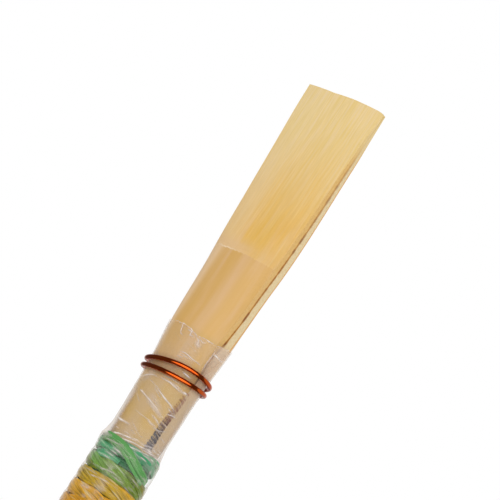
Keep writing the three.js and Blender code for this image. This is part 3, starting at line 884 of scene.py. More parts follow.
# %% From a pixel to the reed
def on_reed(pixel, half_width, half_depth):
    """The point where the line of sight through a pixel meets the reed."""
    sight = right * ((pixel[0] - PHOTO_SIDE / 2) / focal_pixels)
    sight += up * ((PHOTO_SIDE / 2 - pixel[1]) / focal_pixels) - back
    level = MIDDLE_IN_VIEW
    for _ in range(6):
        a, b = half_width(level), half_depth(level)
        p, q = (eye.x / a, eye.y / b), (sight.x / a, sight.y / b)
        square, both, rest = q[0] ** 2 + q[1] ** 2, p[0] * q[0] + p[1] * q[1], p[0] ** 2 + p[1] ** 2 - 1
        reach = (-both - math.sqrt(max(both ** 2 - square * rest, 0))) / square
        spot = eye + sight * reach
        level = spot.z
    return np.array(spot)

# %% [markdown]
# ## Thread
#
# The blades are tied on with cotton floss, dyed in several colours along its length. Mercerised
# cotton is swollen in lye until it shines, so its filaments catch the light in lines, which are
# painted into the colour as painted highlight and shade as well as bumped. A filament is 0.015 mm
# thick, too fine to show here, so the lines are drawn 0.04 mm wide. The plies slid past each other
# when they were twisted, so each changes colour at its own place.

# %% Thread finish
DYE_REPEAT = 240.0
floss, tree = finish_named("space_dyed_cotton_floss")
along, beside, ply = (
    node(tree, "Attribute", attribute_name=word).outputs["Fac"] for word in ("along", "beside", "ply")
)
wander = node(tree, "TexNoise", W=ply, Scale=5.0, noise_dimensions="1D")
dye_shift = node(tree, "MapRange", wander, 0.3, 0.7, -4.0, 4.0)
dyed_at = node(tree, "Math", along, dye_shift, operation="ADD")
dye_share = node(tree, "Math", dyed_at, DYE_REPEAT, operation="DIVIDE")
dye = node(tree, "ValToRGB", dye_share, stops=[
    (0.0, "#4A9A60"), (0.03, "#46986A"), (0.05, "#4C9A64"), (0.072, "#6A9232"), (0.088, "#6A7A14"),
    (0.105, "#848012"), (0.122, "#B4951C"), (0.15, "#CA9C1A"), (0.20, "#CC941A"), (0.27, "#CC9020"),
    (0.40, "#C66C24"), (0.50, "#B04A24"), (0.58, "#DA9627"), (0.66, "#9DB940"), (0.74, "#2F9160"),
    (0.80, "#5C9C54"), (0.88, "#50904A"), (0.93, "#E1B834"), (1.0, "#DA9627"),
])
place = node(tree, "CombineXYZ", beside, along, ply)
filaments, patches = fibres(tree, place, (26.0, 0.7, 9.0), 2.0), fibres(tree, place, (5.0, 0.45, 7.0), 1.0)
# Painted highlight and shade: the filament lines are painted lighter and darker in the colour.
painted_filament_light = node(tree, "MapRange", filaments, 0.3, 0.7, 0.65, 1.45)
filament_lit_dye = node(tree, "VectorMath", dye, Scale=painted_filament_light, operation="SCALE")
# Where the dye took badly the cotton stays pale, and in other patches it is darkened as painted shade.
faded = laid_over(tree, filament_lit_dye, "#DDE4CC", patches, 0.58, 0.74, 0.0, 0.42)
painted_shade_patches = node(tree, "MapRange", patches, 0.3, 0.45, 0.55, 1.0, interpolation_type="SMOOTHSTEP")
patch_shaded = node(tree, "VectorMath", faded, Scale=painted_shade_patches, operation="SCALE")
# The inner layer is darkened as painted shade, for the shadow it lies in under the outer turns.
painted_shade_factor = node(tree, "MapRange", ply, 19.0, 20.0, 1.0, 0.5)
cotton = node(tree, "VectorMath", patch_shaded, Scale=painted_shade_factor, operation="SCALE")
ridges = node(tree, "Bump", Height=filaments, Strength=0.7, Distance=0.03 * MM)
shader = node(
    tree, "BsdfPrincipled", Base_Color=cotton, Roughness=0.34, Normal=ridges, Sheen_Weight=0.12,
    Sheen_Roughness=0.4, IOR=1.53, Specular_IOR_Level=0.3,
)
node(tree, "OutputMaterial", shader)

# %% [markdown]
# The floss is six loosely twisted plies, and pulling it tight flattens them, so each turn shows
# slanting bundles. A single rod with a twisted pattern would look too smooth, so one long path
# winds down the reed and six flat plies wind round that path. The first turn runs level round the
# front and drops at the back. The rest is an even helix.

# %% Thread path and plies
PITCH, PLIES, TWIST_LENGTH = 1.05, 6, 6.2
PLY_HALF_WIDTH, PLY_HALF_THICKNESS = 0.2, 0.095
BUNDLE_HALF_WIDTH, BUNDLE_HALF_THICKNESS = 0.32, 0.06
THREAD_LIFT = 0.05
THREAD_THICKNESS = THREAD_LIFT + 2 * (BUNDLE_HALF_THICKNESS + PLY_HALF_THICKNESS)
PLY_SIDES, FILAMENT_RIDGES = 16, 4
FIRST_ANGLES = np.radians([132, 222, 402, 582])
section = np.linspace(0, 2 * math.pi, PLY_SIDES, endpoint=False)

bound = [thread_foot, butt, throat]
bound_width = profile(bound, [tube_width(thread_foot), cane_width(butt), cane_width(throat)])
bound_depth = profile(bound, [tube_depth(thread_foot), cane_depth(butt), cane_depth(throat)])


def outward_from(width, depth, angle):
    """The direction straight out of an oval at an angle."""
    outward = oval_points(depth, width, angle, 0.0)
    return outward / np.linalg.norm(outward, axis=-1, keepdims=True)


def travelled_along(path):
    """How far along a path each of its points is."""
    return np.concatenate([[0], np.cumsum(np.linalg.norm(np.diff(path, axis=0), axis=-1))])


def wound(angle, level, lift):
    """A line round the bound reed, the way out at each point, and how far along it the point is."""
    width, depth = bound_width(level) + lift, bound_depth(level) + lift
    line = oval_points(width, depth, angle, level)
    return line, outward_from(width, depth, angle), travelled_along(line)


def ply_rings(centre, outward, sideways, half_width, half_thickness, travelled, seed):
    """Rings of one flat ply, a little uneven, with ridges of filaments that twist slowly along it."""
    plump = 1 + 0.14 * drift(seed, travelled * 0.9, travelled * 0)
    ridge = 1 + 0.09 * np.cos(FILAMENT_RIDGES * section[None, :] + 1.1 * travelled[:, None] + seed)
    out = half_thickness * np.cos(section)[None, :] * ridge
    across = half_width * np.sin(section)[None, :] * ridge * plump[:, None]
    return centre[:, None] + outward[:, None] * out[..., None] + sideways[:, None] * across[..., None]


top_middle = thread_top - BUNDLE_HALF_WIDTH - PLY_HALF_WIDTH
foot_middle = thread_foot + BUNDLE_HALF_WIDTH + PLY_HALF_WIDTH
turns = (top_middle - foot_middle) / PITCH
last_angle = FIRST_ANGLES[1] + 2 * math.pi * turns
angle = np.linspace(FIRST_ANGLES[0], last_angle, int((turns + 0.25) * 76))
drop = np.array([-0.1, 0, 0.08, -PITCH - 0.24, -PITCH * turns])
level = np.interp(angle, [*FIRST_ANGLES, last_angle], top_middle + drop)
level = np.convolve(np.pad(level, 8, mode="edge"), np.ones(17) / 17, "valid")
middle, outward, length = wound(angle, level, THREAD_LIFT + BUNDLE_HALF_THICKNESS + PLY_HALF_THICKNESS)
lengthwise = np.broadcast_to([0.0, 0.0, 1.0], middle.shape)

strands = []
for number in range(PLIES):
    uneven = 0.5 * drift(60 + number, length * 0.25, length * 0)
    phase = 2 * math.pi * (number / PLIES + length / TWIST_LENGTH) + uneven
    centre = middle + outward * (BUNDLE_HALF_THICKNESS * np.sin(phase))[:, None]
    centre = centre + lengthwise * (BUNDLE_HALF_WIDTH * np.cos(phase))[:, None]
    rings = ply_rings(centre, outward, lengthwise, PLY_HALF_WIDTH, PLY_HALF_THICKNESS, length, 31 + number)
    strands.append((rings, length, PLY_HALF_WIDTH, 1.7 * number))
print(f"thread: {turns:.1f} turns, {length[-1]:.0f} mm long")

# %% [markdown]
# An inner layer lies flat on the cane and shows in the gaps of the outer one. The maker ends the
# binding by carrying the thread back over the first turns. In the photograph one run crosses them
# from the upper left to the lower right, and a thinner one dips under it. The points of both are
# pixels of that picture.

# %% Inner layer and thread end
FLAT_HALF_WIDTH, INNER_LIFT = 0.16, 0.06
CROSSING_PIXELS = [
    (101, 433), (107, 434.5), (113, 438), (119, 442.5), (123.5, 448), (127.5, 454.5), (132, 463.5),
    (135.7, 470), (139, 475.5), (142.3, 481), (145.3, 486),
]
UNDER_PIXELS = [(93.5, 448.5), (99, 450), (105, 452.5), (111, 456), (117.5, 461)]

middle, outward, length = wound(angle[::2], level[::2] - PITCH / 2, INNER_LIFT)
for number, beside in enumerate((-0.36, -0.12, 0.12, 0.36)):
    centre = middle + lengthwise[::2] * beside
    rings = ply_rings(centre, outward, lengthwise[::2], FLAT_HALF_WIDTH, 0.055, length, 81 + number)
    strands.append((rings, length - 3, FLAT_HALF_WIDTH, 21.0 + number))


def smooth_path(path, passes):
    """A path with its corners rounded and its ends kept."""
    path = path.copy()
    for _ in range(passes):
        path[1:-1] = (path[:-2] + 2 * path[1:-1] + path[2:]) / 4
    return path


def laid_end(pixels, out, plies, along_start, ply_start, seed):
    """A flat end of the thread laid over the turns, from pixels of its middle line."""
    thread_width, thread_depth = (
        lambda z, bare=bare: bare(z) + THREAD_THICKNESS for bare in (bound_width, bound_depth)
    )
    spots = np.array([on_reed(pixel, thread_width, thread_depth) for pixel in pixels])
    at = travelled_along(spots)
    travelled = np.linspace(0, at[-1], int(at[-1] * 28))
    line = smooth_path(np.stack([np.interp(travelled, at, spots[:, k]) for k in range(3)], -1), 30)
    width, depth = bound_width(line[:, 2]), bound_depth(line[:, 2])
    outward = outward_from(width, depth, np.arctan2(line[:, 1] / depth, line[:, 0] / width))
    sideways = np.cross(np.gradient(line, axis=0), outward)
    sideways /= np.linalg.norm(sideways, axis=-1, keepdims=True)
    tucked = 0.16 * (1 - ease(travelled, 0, 1.0)) + 0.2 * ease(travelled, travelled[-1] - 1.0, travelled[-1])
    line = line + outward * (out - tucked)[:, None]
    for number in range(plies):
        beside = (number - (plies - 1) / 2) * 0.2 + 0.05 * np.sin(travelled * 0.8 + number)
        centre = line + sideways * beside[:, None]
        rings = ply_rings(centre, outward, sideways, FLAT_HALF_WIDTH, 0.065, travelled, seed + number)
        strands.append((rings, along_start + travelled * 0.4, FLAT_HALF_WIDTH, ply_start + 0.3 * number))
    return line


crossing = laid_end(CROSSING_PIXELS, 0.03, 3, 199, 11.0, 71)
laid_end(UNDER_PIXELS, -0.07, 2, 8, 14.0, 76)

# %% [markdown]
# All the strands become one piece, as the real thread is one length. It sits a hair to the right
# of the reed's middle.

# %% Binding
points, faces, facts = [], [], {"along": [], "beside": [], "ply": []}
for rings, along_strand, half_width, ply_value in strands:
    faces += ring_faces(len(rings), PLY_SIDES, sum(len(part) for part in points), closed=True)
    points.append(rings.reshape(-1, 3))
    facts["along"].append(np.repeat(along_strand, PLY_SIDES))
    facts["beside"].append(np.tile(np.sin(section) * half_width, len(rings)))
    facts["ply"].append(np.full(len(rings) * PLY_SIDES, ply_value))
BINDING_SHIFT = np.array(level_right) * 0.06
thread = make_piece(
    "floss_binding", np.concatenate(points) + BINDING_SHIFT, faces, floss,
    {fact: np.concatenate(values) for fact, values in facts.items()}, sharp_angle=60,
)
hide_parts("binding_thread", "binding_underlay")

# %% [markdown]
# ## Clear film
#
# Thin clear film is wrapped round the tube part, over the top of the thread, to stop air leaking
# through the seam. Polythene is clear and glossy. Where it is stretched or folded it scatters
# light and turns white, and seen edge on it is lit from behind, so its colour is painted whiter
# there as painted backlight, and it is more opaque. Glass would bend the light too much, so it is a
# thin skin whose opacity follows its haze.

# %% Film finish
film_finish, tree = finish_named("clear_polythene_film")
haze_and_painted_light = node(tree, "Attribute", attribute_name="haze_and_painted_light").outputs["Fac"]
place = node(tree, "TexCoord").outputs["Object"]
crinkle_space = node(
    tree, "Mapping", Vector=place, Rotation=(0.0, 0.0, 0.6), Scale=(0.9 * PER_MM, 0.9 * PER_MM, 0.5 * PER_MM),
)
crinkle = node(tree, "TexNoise", Vector=crinkle_space, Scale=1.0, Detail=3.0)
cloudy = node(tree, "MapRange", crinkle, 0.45, 0.8, 0.0, 0.1)
# The lining of the film carries a haze below nothing, so that only its outside is seen.
milky = node(tree, "Math", haze_and_painted_light, cloudy, operation="ADD")
facing = node(tree, "LayerWeight", Blend=0.5).outputs["Facing"]
rim = node(tree, "MapRange", facing, 0.5, 0.95, 0.0, 0.55)
cover = node(tree, "Math", milky, rim, operation="ADD", use_clamp=True)
tint = node(tree, "ValToRGB", cover, stops=[(0.0, "#E6D6D0"), (0.5, "#ECE0DA"), (1.0, "#FAF7F4")])
# Painted backlight: seen edge on, the tint turns whiter.
edge_on = node(tree, "MapRange", facing, 0.5, 0.85)
tint = node(tree, "Mix", Factor=edge_on, A=tint, B="#FFF2E4", data_type="RGBA")
ripples = node(tree, "Bump", Height=crinkle, Strength=0.35, Distance=0.05 * MM)
shader = node(
    tree, "BsdfPrincipled", Base_Color=tint, Roughness=0.16, Alpha=cover, Normal=ripples, IOR=1.52,
    Coat_Weight=0.3, Coat_Roughness=0.08, Specular_IOR_Level=0.25,
)
node(tree, "OutputMaterial", shader)

# %% [markdown]
# The sheet is modelled as a fine net of points that lies close on the cane and climbs over the
# thread in a short shoulder. Cloth simulation would wrinkle it, but not where the photograph has
# its wrinkles. The torn top edge is as the photograph has it in front, and uneven at the back.

# %% Film shape
FILM_SIDES, FILM_WALL = 340, 0.02
film_lift = profile(
    [*(thread_top + np.array([-0.3, 0.1, 0.5, 1.1, 2.2])), wire_level, film_top],
    [THREAD_THICKNESS + 0.01, THREAD_THICKNESS - 0.08, 0.2, 0.1, 0.06, 0.05, 0.05], 0.15,
)


def film_width(level):
    """Half width of the film."""
    return np.where(level > thread_top, oval_width(level), bound_width(level)) + film_lift(level)


def film_depth(level):
    """Half depth of the film."""
    return np.where(level > thread_top, cane_depth(level), bound_depth(level)) + film_lift(level)


def on_film(pixels):
    """Points of the film that lie under the photograph's pixels."""
    return np.array([on_reed(pixel, film_width, film_depth) for pixel in pixels])


def film_points(angles, levels, raised=0.0):
    """Points of the film, raised by a little along its outward direction."""
    width, depth = film_width(levels), film_depth(levels)
    outward = outward_from(width, depth, angles)
    return oval_points(width, depth, angles, levels) + outward * np.asarray(raised)[..., None]


top_edge = on_film([
    (173, 319.5), (178, 321.2), (184.2, 323.4), (190.9, 328.7), (196.6, 334.9), (203.3, 337.7),
    (209.1, 341.6), (215.8, 345.4), (222.5, 348.3), (229, 350.8),
])
edge_width, edge_depth = film_width(top_edge[:, 2]), film_depth(top_edge[:, 2])
edge_angles = np.degrees(np.arctan2(top_edge[:, 1] / edge_depth, top_edge[:, 0] / edge_width)) % 360
edge_angles[edge_angles < 180] += 360
film_turn = np.linspace(0, 2 * math.pi, FILM_SIDES, endpoint=False)
seen_angle = (np.degrees(film_turn) - 132) % 360 + 132
round_step = film_turn * 12 / (2 * math.pi)
uneven = 0.1 * drift(41, round_step * 3, round_step * 0, 36)
uneven += 0.05 * drift(42, round_step * 6, round_step * 0, 72)
seen_top = np.interp(seen_angle, edge_angles, top_edge[:, 2])
seen_share = ease(seen_angle, edge_angles[0] - 20, edge_angles[0])
seen_share = seen_share * ease(seen_angle, edge_angles[-1] + 20, edge_angles[-1])
torn_top = film_top - 0.15 + uneven + (seen_top - film_top + 0.15 - 0.6 * uneven) * seen_share

film_levels = np.concatenate([
    np.linspace(film_foot + 0.35, thread_top - 3, 30, endpoint=False),
    np.arange(thread_top - 3, film_top, 0.04), [film_top],
])
angles, levels = np.meshgrid(film_turn, film_levels)
levels = levels + ease(levels, film_top - 1.5, film_top) * (torn_top - film_top)
levels = levels + ease(levels, film_foot + 2, film_foot + 0.35) * uneven * 2
base = film_points(angles, levels)
print(f"film: top edge from {torn_top.min():.2f} to {torn_top.max():.2f} mm, {base[..., 0].size} points")

# %% [markdown]
# Haze tells the finish where the film is milky, and it also carries painted light. It gathers
# above the thread's shoulder and in bands above the wire. At both sides under the wire it is whiter,
# partly milky film seen edge on and partly painted backlight. Over the thread a painted highlight,
# where the light catches the film, lies left of the middle, on its top shoulder and right of the
# crossing end.

# %% Film haze
def film_drift(seed, steps, per_mm):
    """Drift that runs round the film in a number of steps without a join."""
    return drift(seed, angles * steps / (2 * math.pi), levels * per_mm, steps)


raised = 0.010 * film_drift(43, 36, 1.5) + 0.005 * film_drift(44, 60, 5)
haze_and_painted_light = 0.05 + 0.04 * film_drift(45, 12, 0.6)
haze_and_painted_light += 0.1 * ease(levels, thread_top + 2.0, thread_top + 0.7)
seen_across = base[..., :2] @ np.array(level_right[:2])
in_front = ease(base[..., :2] @ np.array(back[:2]), -0.3, 0.3)
BAND_ACROSS = [-2, -0.75, -0.55, 0.35, 0.6, 1.15, 1.4, 2.1]
BAND_HAZE = [0.03, -0.03, 0.08, 0.1, -0.03, -0.03, 0.08, 0.05]
milky_bands = np.interp(seen_across, BAND_ACROSS, BAND_HAZE)
haze_and_painted_light += ease(levels, wire_level, wire_level + 0.6) * milky_bands * in_front
# Whiter at both sides as seen, partly milky film seen edge on and partly painted backlight.
milky_and_backlit_sides = 0.5 * ease(seen_across, -1.5, -1.85) + 0.2 * ease(seen_across, 1.6, 1.9)
haze_and_painted_light += milky_and_backlit_sides * ease(levels, thread_top + 4.2, thread_top + 2.6)

over_thread = ease(levels, thread_top + 0.1, thread_top - 0.3)
patchy = 0.6 + 0.5 * film_drift(50, 48, 3)
over_thread_haze_and_light = 0.3 * np.clip(film_drift(46, 48, 2.2) - 0.25, 0, 1) + 0.01
over_thread_haze_and_light -= 0.09 * ease(levels, thread_top - 1.1, thread_top - 1.7)
# Painted highlights over the thread: a band left of the middle, the top shoulder and the right side.
over_thread_haze_and_light += 0.2 * np.exp(-((seen_across + 0.55) / 0.38) ** 2) * in_front * patchy
over_thread_haze_and_light += 0.26 * ease(levels, thread_top - 0.55, thread_top - 0.15) * patchy
over_thread_haze_and_light += 0.14 * ease(seen_across, 0.9, 1.4) * ease(levels, thread_top - 1.2, thread_top - 0.8) * in_front
haze_and_painted_light = haze_and_painted_light * (1 - over_thread) + over_thread_haze_and_light * over_thread

# %% [markdown]
# Each crease is a ridge as fine as a hair. The large ones are placed by pixels of the photograph,
# which also gives their haze; that whiteness is partly milky film and partly painted glints and
# reflections of the film's shine. Small ones are scattered by chance, most of them on the shoulder
# where the film drops from the thread to the cane.

# %% Film creases
def press_crease(line, width, height, whiteness):
    """Raises a ridge that tapers to both ends of a line, and clouds the film there."""
    rows = np.flatnonzero((film_levels > line[:, 2].min() - 0.8) & (film_levels < line[:, 2].max() + 0.8))
    rows = slice(rows[0], rows[-1] + 1)
    grid, passed = base[rows], travelled_along(line)
    nearest, share = np.full(grid.shape[:-1], np.inf), np.zeros(grid.shape[:-1])
    for start, end, before in zip(line[:-1], line[1:], passed):
        run = end - start
        along = np.clip((grid - start) @ run / (run @ run), 0, 1)
        away = np.linalg.norm(grid - start - along[..., None] * run, axis=-1)
        share = np.where(away < nearest, (before + along * np.linalg.norm(run)) / passed[-1], share)
        nearest = np.minimum(nearest, away)
    near = np.sin(math.pi * np.clip(share, 0.03, 0.97)) ** 0.4 * np.exp(-(nearest / width) ** 2)
    raised[rows] = np.maximum(raised[rows], height * near)
    haze_and_painted_light[rows] = np.maximum(haze_and_painted_light[rows], whiteness * near)


# Each crease: its width, height and whiteness, then its pixels.
creases = [
    (0.045, 0.05, 0.6, (135, 383.6), (142.1, 391), (149.7, 399.9), (156.4, 408), (162.5, 418)),
    (0.1, 0.03, 0.32, (147, 399), (154, 408), (162, 419)),
    (0.04, 0.06, 0.7, (158, 389), (164.1, 397.5), (170.8, 405.7), (174, 411)),
    (0.03, 0.03, 0.35, (144, 376), (152, 381), (158, 388), (163, 394)),
    (0.035, 0.03, 0.45, (170, 381), (178, 387), (186, 395)),
    (0.05, 0.03, 0.4, (152, 415), (157, 421), (160, 428)),
    (0.04, 0.05, 0.6, (161.2, 377.4), (169.8, 382.2), (175.6, 387.5), (181.3, 393.2)),
    (0.035, 0.04, 0.4, (164.5, 375.5), (172.5, 379.2), (180.5, 384.5)),
    (0.04, 0.04, 0.5, (138.5, 379), (146.5, 375), (153, 374.5), (158.5, 377)),
    (0.06, 0.05, 0.7, (114.5, 413.5), (121, 419.5), (129.5, 424.4)),
    (0.06, 0.04, 0.4, (147.4, 419.1), (150.7, 423.4), (155.5, 426.7)),
    (0.035, 0.05, 0.6, (180.4, 351.1), (186.1, 353.5), (191.8, 358.8), (199.5, 364.5)),
    (0.045, 0.05, 0.7, (183.2, 372.2), (186.1, 375), (189.9, 378.4)),
    (0.045, 0.05, 0.6, (213.8, 354.5), (217.7, 358.3)),
    (0.04, 0.05, 0.5, (217.5, 357.5), (221.5, 362.5)),
    (0.04, 0.05, 0.4, (201.4, 372.2), (206.2, 363.6), (212.9, 355), (216.5, 348.5)),
    (0.05, 0.04, 0.75, (183.2, 392.3), (186.6, 394.7)),
    (0.035, 0.04, 0.6, (167, 414.3), (171, 415.5), (175.6, 418.1)),
    (0.04, 0.05, 0.5, (107.7, 426.2), (117.2, 427.2)),
    (0.045, 0.06, 0.65, (104.8, 430.5), (119.1, 433.4), (127.7, 437.2)),
    (0.045, 0.06, 0.65, (120.1, 438.2), (128.7, 441.1), (138.3, 444.9)),
    (0.045, 0.06, 0.65, (141, 449), (150, 454), (158, 458)),
    (0.03, 0.03, 0.55, (184.7, 319.6), (183.5, 324), (181.3, 330), (180.8, 333), (183.2, 335.4)),
    (0.03, 0.03, 0.6, (188, 329), (192, 332), (190, 335), (194, 337)),
    (0.03, 0.03, 0.6, (196, 336), (199, 341), (197, 345), (201, 347)),
    (0.03, 0.03, 0.5, (199, 338), (203, 343), (206, 343)),
    (0.2, 0.01, 0.3, (197, 339), (198, 344), (199, 349)),
    (0.3, 0.01, 0.22, (142, 380), (150, 374), (158, 369)),
    (0.12, 0.1, 0.5, (199, 400), (202, 402.5), (205.5, 402)),
    (0.03, 0.03, 0.5, (98, 452), (106, 456), (116, 463)),
    (0.03, 0.03, 0.45, (92, 463), (102, 468), (112, 472), (121, 480)),
    (0.03, 0.03, 0.5, (80, 470), (92, 475), (104, 480), (116, 488)),
    (0.03, 0.03, 0.45, (74, 482), (86, 487), (98, 495)),
    (0.03, 0.03, 0.45, (112, 458), (121, 466), (128, 475)),
    (0.028, 0.02, 0.5, (104, 450), (109, 453), (114, 457), (119, 462)),
    (0.03, 0.02, 0.5, (110, 449), (115, 453), (120, 458.5)),
    (0.04, 0.02, 0.55, (139, 456), (143, 459), (147, 462)),
    (0.035, 0.02, 0.5, (141, 454), (146, 457), (150, 461)),
    (0.04, 0.02, 0.6, (149.5, 458.5), (153, 461.5)),
    (0.17, 0.01, 0.22, (150, 393), (156, 402), (161, 412)),
    (0.03, 0.03, 0.4, (176.5, 355), (183.5, 358)),
    (0.03, 0.03, 0.45, (179, 353), (186, 357), (193, 362)),
    (0.05, 0.02, 0.18, (190, 402), (184, 416), (174, 436)),
    (0.03, 0.02, 0.5, (179, 388), (184, 395)),
    (0.03, 0.02, 0.5, (168, 408), (172.5, 415)),
    (0.03, 0.02, 0.55, (160, 421), (167, 428)),
    (0.03, 0.02, 0.5, (153, 425), (160, 434)),
    (0.03, 0.04, 0.6, (104, 430), (117, 433), (133.5, 440), (142.5, 443)),
    (0.03, 0.03, 0.45, (107.5, 425), (117, 427), (127, 433), (134, 439)),
    (0.03, 0.03, 0.5, (122.5, 441), (141, 447.5), (154, 450.5), (163, 458)),
    (0.03, 0.03, 0.45, (140, 441), (147, 446), (154, 452), (161, 459)),
    (0.04, 0.06, 0.75, (104, 431.5), (116, 433), (128, 437), (140, 443)),
    (0.035, 0.05, 0.55, (122, 434), (136, 439.5), (150, 447.5), (160, 455)),
    (0.035, 0.04, 0.7, (133, 443), (141, 447), (150, 452), (159, 457.5)),
    (0.03, 0.03, 0.55, (136, 441), (145, 446), (155, 452), (163, 456.5)),
    (0.028, 0.03, 0.7, (140, 446.5), (149, 450), (158, 454.5), (164, 456)),
    (0.03, 0.03, 0.6, (131, 446.5), (139, 451), (147, 455), (154, 459)),
    (0.028, 0.03, 0.55, (147, 444.5), (153, 448.5), (160, 452.5), (165, 452)),
    (0.035, 0.03, 0.7, (150, 455), (156, 459), (161, 461)),
    (0.035, 0.03, 0.7, (120, 441), (130, 447), (138, 450.5)),
    (0.03, 0.03, 0.5, (100, 437), (108, 439), (116, 443), (124, 448)),
    (0.03, 0.03, 0.5, (152, 427), (158, 431), (166, 432)),
    (0.03, 0.03, 0.45, (158, 436), (163, 441), (166, 447)),
    (0.05, 0.03, 0.55, (113, 447), (119, 452), (123, 458)),
]
# They are drawn wider and whiter than they were read off, so that they show at this size.
WIDER, WHITER, WHITEST = 1.4, 1.3, 0.95
for width, height, whiteness, *pixels in creases:
    press_crease(on_film(pixels), width * WIDER, height, min(whiteness * WHITER, WHITEST))
print(f"{len(creases)} creases as the photograph has them")

# %% Scattered creases
chance = np.random.default_rng(47)
for count, low, high, shortest, longest, steepest in (
    (76, thread_top - 0.1, thread_top + 1.1, 1.8, 4.5, 0.16),
    (16, thread_top + 0.9, wire_level - 0.3, 0.5, 1.8, 0.6),
    (10, wire_level + 0.6, film_top - 0.5, 0.4, 1.2, 0.5),
    (90, film_foot + 1.0, thread_top - 0.2, 1.0, 3.4, 0.3),
):
    for _ in range(count):
        at_angle, at_level = chance.uniform(0, 2 * math.pi), chance.uniform(low, high)
        run, slant = chance.uniform(shortest, longest), chance.uniform(0.05, steepest)
        share = np.array([0, 0.35, 0.7, 1]) * run
        uneven_levels = at_level - share * math.sin(slant) + chance.normal(0, 0.015, 4)
        line = film_points(at_angle + share * math.cos(slant) / 2.2, uneven_levels)
        width, height = chance.uniform(0.022, 0.042), chance.uniform(0.015, 0.035)
        press_crease(line, width, height, chance.uniform(0.2, 0.55))

# %% [markdown]
# Near the wire's right end the film lies double and looks greyer. Its torn top edge is thick and
# white, it stands proud over the thread's crossing end, and between the turns it sinks a little and
# is whitened along the gaps as a painted glint. Beside the crossing end it is pulled clear, so the
# valley there looks dark.

# %% Film folds
def near_points(spots, reach, power=2):
    """A share that is full at some points and fades out round them."""
    away = np.min(np.linalg.norm(base[:, :, None] - spots, axis=-1), axis=-1)
    return np.exp(-(away / reach) ** power)


end_of_wrap = on_film([(201.4, 372.2), (206.2, 363.6), (212.9, 355), (217.5, 347.5)])
wrap_x = np.interp(levels, end_of_wrap[:, 2], end_of_wrap[:, 0])
doubled = ease(levels, wire_level + 0.2, wire_level + 0.5) * ease(base[..., 0] - wrap_x, 0, 0.08)
haze_and_painted_light = haze_and_painted_light + 0.13 * doubled * (base[..., 1] < 0.3)

edge_strength = np.interp(seen_angle, edge_angles, [0.35, 0.5, 0.9, 1, 1, 1, 0.9, 0.6, 0.5, 0.6])
frayed = np.clip(0.62 + 0.6 * film_drift(48, 120, 0), 0.15, 1)
haze_and_painted_light = np.maximum(haze_and_painted_light, np.exp(-((levels - torn_top) / 0.06) ** 2) * edge_strength * frayed)
raised = raised + 0.1 * near_points(crossing[::6], 0.37)

turn_phase = 2 * math.pi * (levels - top_middle) / PITCH + angles - FIRST_ANGLES[1]
between_turns = np.clip(-np.cos(turn_phase), 0, 1)
broken_up = np.clip(0.4 + 0.9 * film_drift(49, 36, 1.5), 0, 1)
raised = raised - 0.04 * over_thread * between_turns ** 2
# Painted glint: thin whiter lines along the gaps between the turns.
haze_and_painted_light = np.maximum(haze_and_painted_light, 0.32 * over_thread * between_turns ** 18 * broken_up)
haze_and_painted_light = haze_and_painted_light * (1 - 0.9 * near_points(on_film([(117.5, 459.5), (123.5, 464.5), (130, 471.5)]), 0.42, 4))

# %% [markdown]
# The film is closed into a thin skin by a lining with fewer rings.

# %% Film
follow = BINDING_SHIFT * over_thread[..., None]
skin = film_points(angles, levels, raised + 0.01) + follow
rows = np.unique(np.round(np.linspace(0, len(film_levels) - 1, 60)).astype(int))[::-1]
lining = film_points(angles[rows], levels[rows], np.minimum(raised[rows], 0) - FILM_WALL) + follow[rows]
film_rings = np.concatenate([skin, lining])
film = make_piece(
    "clear_film_wrap", film_rings, ring_faces(len(film_rings), FILM_SIDES, loop=True), film_finish,
    {"haze_and_painted_light": np.concatenate([np.clip(haze_and_painted_light, 0, 1), np.full(lining.shape[:2], -1.0)])}, sharp_angle=80,
)
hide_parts("clear_film")

# %% [markdown]
# ## Copper wire
#
# Two turns of enamelled copper wire hold the blades round and let the player adjust the opening.
# The copper under amber varnish is a bright metal, so it is nearly black where it mirrors the dark.

# %% Wire finish
enamel, tree = finish_named("enamelled_copper_wire")
place = node(tree, "TexCoord").outputs["Object"]
smudge = node(tree, "TexNoise", Vector=place, Scale=0.9 * PER_MM, Detail=4.0)
varnish = node(tree, "ValToRGB", smudge, stops=[(0.35, "#C44C12"), (0.65, "#D25E1E")])
drawn = node(tree, "MapRange", smudge, 0.0, 1.0, 0.08, 0.16)
drag = node(tree, "Bump", Height=smudge, Strength=0.1, Distance=0.02 * MM)
shader = node(
    tree, "BsdfPrincipled", Base_Color=varnish, Metallic=1.0, Roughness=drawn, Normal=drag,
    Coat_Weight=0.05, Coat_Roughness=0.05,
)
node(tree, "OutputMaterial", shader)

# %% [markdown]
# The wire is one round rod: two turns, then both ends twisted together at the back. It could be a
# curve with a bevel, but rings of its own keep it round where the twist is tight. Its level at the
# left, middle and right is as the photograph has it.

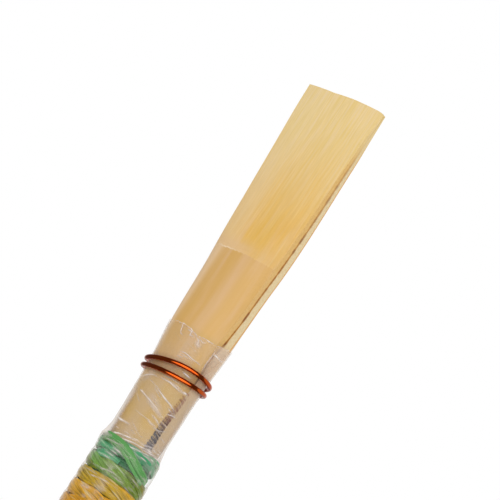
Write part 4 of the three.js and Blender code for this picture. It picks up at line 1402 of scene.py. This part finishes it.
# %% Wire path
WIRE_RADIUS, WIRE_SIDES, WIRE_STEP = 0.155, 20, 0.05
TAIL_TURNS, TAIL_LENGTH = 2.5, 2.6
stations = np.radians([100, 222, 312, 402, 450, 500, 582, 672, 762, 800])
heights = np.array([50.75, 50.47, 50.99, 50.76, 50.55, 50.2, 49.98, 50.10, 50.21, 50.2])
sweep = np.radians(np.arange(102, 799, 2.0))
soft = np.exp(-0.5 * (np.arange(-24, 25) / 9) ** 2)
padded = np.pad(np.interp(sweep, stations, heights), 24, mode="edge")
wire_heights = np.convolve(padded, soft / soft.sum(), "valid")
reach = WIRE_RADIUS + 0.05
loop = oval_points(film_width(wire_heights) + reach, film_depth(wire_heights) + reach, sweep, wire_heights)

tail = np.linspace(0, 1, 60)
tail_level = loop[-1, 2] - 0.25 - TAIL_LENGTH * tail
tail_y = film_depth(tail_level) + 2 * WIRE_RADIUS + 0.06
tail_middle = np.stack([0 * tail, tail_y, 0 * tail], -1)
twist_radius = WIRE_RADIUS * 1.03
first_twist = 2 * math.pi * TAIL_TURNS * tail + math.pi
tails = [
    oval_points(twist_radius, twist_radius, twist, tail_level) + tail_middle
    for twist in (first_twist, first_twist - math.pi)
]


def evenly(path):
    """The same path with its points evenly apart."""
    steps = travelled_along(path)
    at = np.linspace(0, steps[-1], int(steps[-1] / WIRE_STEP))
    return np.stack([np.interp(at, steps, path[:, k]) for k in range(3)], -1)


wire_path = evenly(smooth_path(evenly(np.concatenate([tails[0][::-1], loop, tails[1]])), 12))
print(f"wire: {travelled_along(wire_path)[-1]:.0f} mm long")

# %% Wire
ahead = np.gradient(wire_path, axis=0)
ahead /= np.linalg.norm(ahead, axis=-1, keepdims=True)
around = np.linspace(0, 2 * math.pi, WIRE_SIDES, endpoint=False)
side = np.cross(ahead[0], [0.0, 0.0, 1.0])
wire_rings = []
# Each ring takes over the direction of the one before, so the rod doesn't twist.
for spot, forward in zip(wire_path, ahead):
    side = side - forward * (side @ forward)
    side /= np.linalg.norm(side)
    other = np.cross(forward, side)
    wire_rings.append(spot + WIRE_RADIUS * (np.outer(np.cos(around), side) + np.outer(np.sin(around), other)))
wire = make_piece("enamelled_wire", wire_rings, ring_faces(len(wire_rings), WIRE_SIDES, closed=True), enamel)
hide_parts("copper_wire")

# %% [markdown]
#
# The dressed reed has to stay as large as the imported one. Both boxes are written down to compare.

# %% Size and finish
new_low, new_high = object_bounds()
for axis, name in enumerate("xyz"):
    was, now = cad_high[axis] - cad_low[axis], new_high[axis] - new_low[axis]
    print(f"{name}: packed {was / MM:.2f} mm, dressed {now / MM:.2f} mm")
